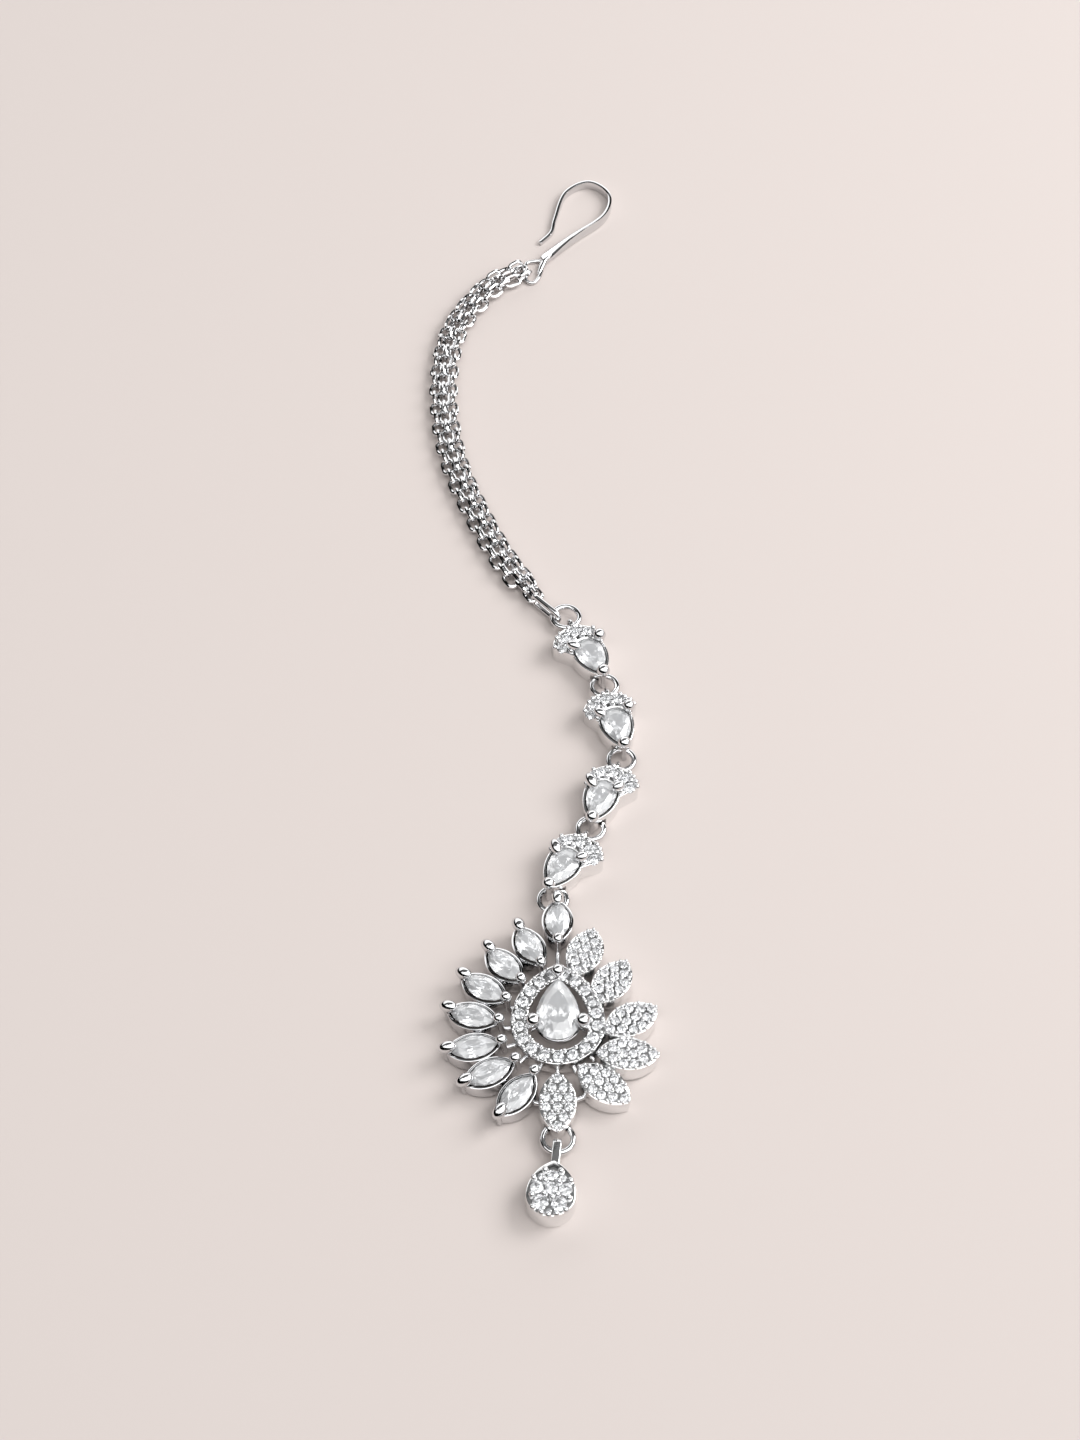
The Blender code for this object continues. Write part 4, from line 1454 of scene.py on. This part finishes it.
@dataclass
class MaangTikka:
    """The whole ornament."""

    hook: HairHook = field(default_factory=HairHook)
    chain: TripleChain = field(default_factory=TripleChain)
    rings: JumpRings = field(default_factory=JumpRings)
    medallion: Medallion = field(default_factory=Medallion)
    drop: Teardrop = field(default_factory=Teardrop)
    first_radius: float = 1.68
    link_radius: float = 1.55
    pendant_radius: float = 1.62
    ring_gap: float = 0.2

    def links(self) -> list[PearLink]:
        """Return the four links from the chain down."""
        crown = ((228.0, 0.5), (251.0, 0.64), (278.0, 0.68), (305.0, 0.70), (332.0, 0.74))
        return [
            PearLink(1, (8.15, -7.5), -66.0, 0.75, crown, ((0.58, 0.7), (0.8, 0), (0.82, 0))),
            PearLink(2, (10.5, -18.4), -76.5, 0.35, crown, ((0.56, 0.6), (0.76, 0), (0.8, 0))),
            PearLink(3, (6.5, -29.1), -107.0, -0.8, crown, ((0.66, 0.9), (0.6, 0.5), (0.8, 0))),
            PearLink(4, (1.4, -38.5), -117.0, -0.8, crown, ((0.66, 0.8), (0.58, 0.5), (0.78, 0))),
        ]

    def channel(self, centre: Vector, radius: float) -> Mesh:
        """Return a ring-shaped cutter that lets a flat ring pass round a post."""
        room = self.rings.wire + self.ring_gap
        top = self.rings.lie + room
        cutter = shell(Outline(OutlineKind.ROUND, radius),
                       ((room, -1.0), (room, top), (-room, top), (-room, -1.0)), 40, ring=True)
        return moved(cutter, Matrix.Translation(centre.xy.to_3d()))

    def build(self) -> None:
        """Make every sub-assembly in order."""
        self.hook.build()
        self.chain.build()
        self.rings.long()
        links = self.links()
        spots: list[tuple[Vector, float, Vector]] = []
        for k, link in enumerate(links):
            if k:
                aim, radius, extra = links[k - 1].tip, self.link_radius, 0.0
            else:
                aim = link.frame @ Vector((0.0, -1.0, 0.0))
                radius, extra = self.first_radius, 0.45
            way = (aim - link.middle).xy.to_3d().normalized()
            eyelet = link.middle + way * (link.eyelet_reach + extra)
            spots.append((eyelet + way * radius, radius, eyelet))
            self.rings.flat(f"jump_ring_{k + 1}", spots[-1][0], radius, f"link_ring_{k + 1}")
        pendant = (self.medallion.post(self.medallion.petals[0]) + links[-1].tip) / 2.0
        self.rings.flat("jump_ring_pendant", pendant, self.pendant_radius, "pendant_ring")
        for k, link in enumerate(links):
            centre, radius = ((spots[k + 1][0], spots[k + 1][1]) if k + 1 < len(links)
                              else (pendant, self.pendant_radius))
            link.build(self.channel(centre, radius), spots[k][2])
        low = Vector(self.drop.ring_at).to_3d()
        self.medallion.build(lambda: self.channel(pendant, self.pendant_radius),
                             lambda: self.channel(low, self.drop.ring_radius))
        self.rings.flat("jump_ring_drop", low, self.drop.ring_radius, "drop_ring")
        self.drop.build()


# ------------------------------------------------------------------------------- studio


@dataclass
class Studio:
    """Plain pale floor, soft lights and the camera."""

    camera_at: tuple[float, float, float] = (0.45, -230.6955, 289.4889)
    camera_pitch: float = 37.0
    lens: float = 75.0
    floor_colour: str = "BFB6B2"
    tent_power: float = 2.45
    low_axis: tuple[float, float, float] = (0.36, 0.42, 1.0)
    low_stops: tuple = ((0.22, "060606"), (0.34, "D0D0D0"), (0.64, "FFFFFF"))
    card_axis: tuple[float, float, float] = (-0.34, 0.73, -0.68)
    card_stops: tuple = ((-0.66, "FFFFFF"), (-0.60, "4C4C4C"), (-0.16, "4C4C4C"),
                         (-0.10, "141414"), (0.05, "141414"), (0.15, "D8D8D8"))

    def build_floor(self) -> None:
        """Lay the floor: matt lacquered board, pale and a little warm."""
        bm = bmesh.new()
        bmesh.ops.create_grid(bm, x_segments=1, y_segments=1, size=3.0)
        mesh = bpy.data.meshes.new("floor")
        bm.to_mesh(mesh)
        bm.free()
        floor = bpy.data.objects.new("floor", mesh)
        bpy.context.scene.collection.objects.link(floor)
        material = bpy.data.materials.new("matt_pale_board")
        material.use_nodes = True
        shader = material.node_tree.nodes["Principled BSDF"]
        shader.inputs["Base Color"].default_value = linear(self.floor_colour)
        shader.inputs["Roughness"].default_value = 0.85
        shader.inputs["Specular IOR Level"].default_value = 0.2
        mesh.materials.append(material)
        floor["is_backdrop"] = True

    def build_lamp(self, name: str, place: Vector, size: tuple[float, float], power: float,
                   colour: str = "FFFFFF") -> None:
        """Hang a soft box that faces the piece.

        Args:
            name: The lamp's name.
            place: Where it hangs, in metres.
            size: Its width and height in metres.
            power: Its power in watts.
            colour: Its colour as an sRGB hex code.
        """
        lamp = bpy.data.lights.new(name, "AREA")
        lamp.shape = "RECTANGLE"
        lamp.size, lamp.size_y = size
        lamp.energy = power
        lamp.color = linear(colour)[:3]
        holder = bpy.data.objects.new(name, lamp)
        holder.location = place
        holder.rotation_euler = (-place).to_track_quat("-Z", "Y").to_euler()
        bpy.context.scene.collection.objects.link(holder)

    def build_sky(self) -> None:
        """Surround the piece with a white tent, dark low in front and on the left.

        A narrow black card runs from the left over the back, which draws the dark arcs that
        the balls and the wires show.
        """
        world = bpy.data.worlds.new("tent")
        bpy.context.scene.world = world
        world.use_nodes = True
        tree = world.node_tree
        place = add_node(tree, "ShaderNodeTexCoord")
        shades = []
        for axis, stops in ((self.low_axis, self.low_stops), (self.card_axis, self.card_stops)):
            lie = add_node(tree, "ShaderNodeVectorMath", {"operation": "DOT_PRODUCT"},
                           {"Vector": place.outputs["Generated"]})
            lie.inputs[1].default_value = axis
            spread = add_node(tree, "ShaderNodeMapRange", {"From Min": -1.0, "From Max": 1.0},
                              {"Value": lie.outputs["Value"]})
            ramp = add_node(tree, "ShaderNodeValToRGB", {}, {"Fac": spread.outputs["Result"]})
            marks = ramp.color_ramp.elements
            while len(marks) < len(stops):
                marks.new(0.5)
            for mark, (value, shade) in zip(marks, stops):
                mark.position, mark.color = (value + 1.0) / 2.0, linear(shade)
            shades.append(ramp.outputs["Color"])
        both = add_node(tree, "ShaderNodeVectorMath", {"operation": "MULTIPLY"},
                        {"Vector": shades[0]})
        tree.links.new(shades[1], both.inputs[1])
        back = tree.nodes["Background"]
        back.inputs["Strength"].default_value = self.tent_power
        tree.links.new(both.outputs["Vector"], back.inputs["Color"])

    def build_camera(self) -> None:
        """Set up the camera."""
        data = bpy.data.cameras.new("camera")
        data.lens = self.lens
        data.sensor_width = 36.0
        data.clip_start, data.clip_end = 0.01, 10.0
        camera = bpy.data.objects.new("camera", data)
        camera.location = Vector(self.camera_at) * MM
        camera.rotation_euler = (math.radians(self.camera_pitch), 0.0, 0.0)
        bpy.context.scene.collection.objects.link(camera)
        bpy.context.scene.camera = camera

    def build(self) -> None:
        """Make the studio."""
        self.build_floor()
        self.build_sky()
        self.build_lamp("key", Vector((0.52, 0.16, 0.48)), (0.40, 0.40), 4.0)
        self.build_lamp("fill", Vector((-0.45, -0.25, 0.60)), (0.40, 0.40), 0.65)
        self.build_camera()
        bpy.context.scene.view_settings.view_transform = "Standard"


def main(solid_box: tuple[Vector, Vector]) -> None:
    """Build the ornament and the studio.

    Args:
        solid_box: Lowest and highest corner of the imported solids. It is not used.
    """
    MaangTikka().build()
    Studio().build()
    bpy.context.view_layer.update()


if __name__ == "__main__":
    logging.basicConfig(level=logging.INFO, format="%(message)s")
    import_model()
    main(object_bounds())
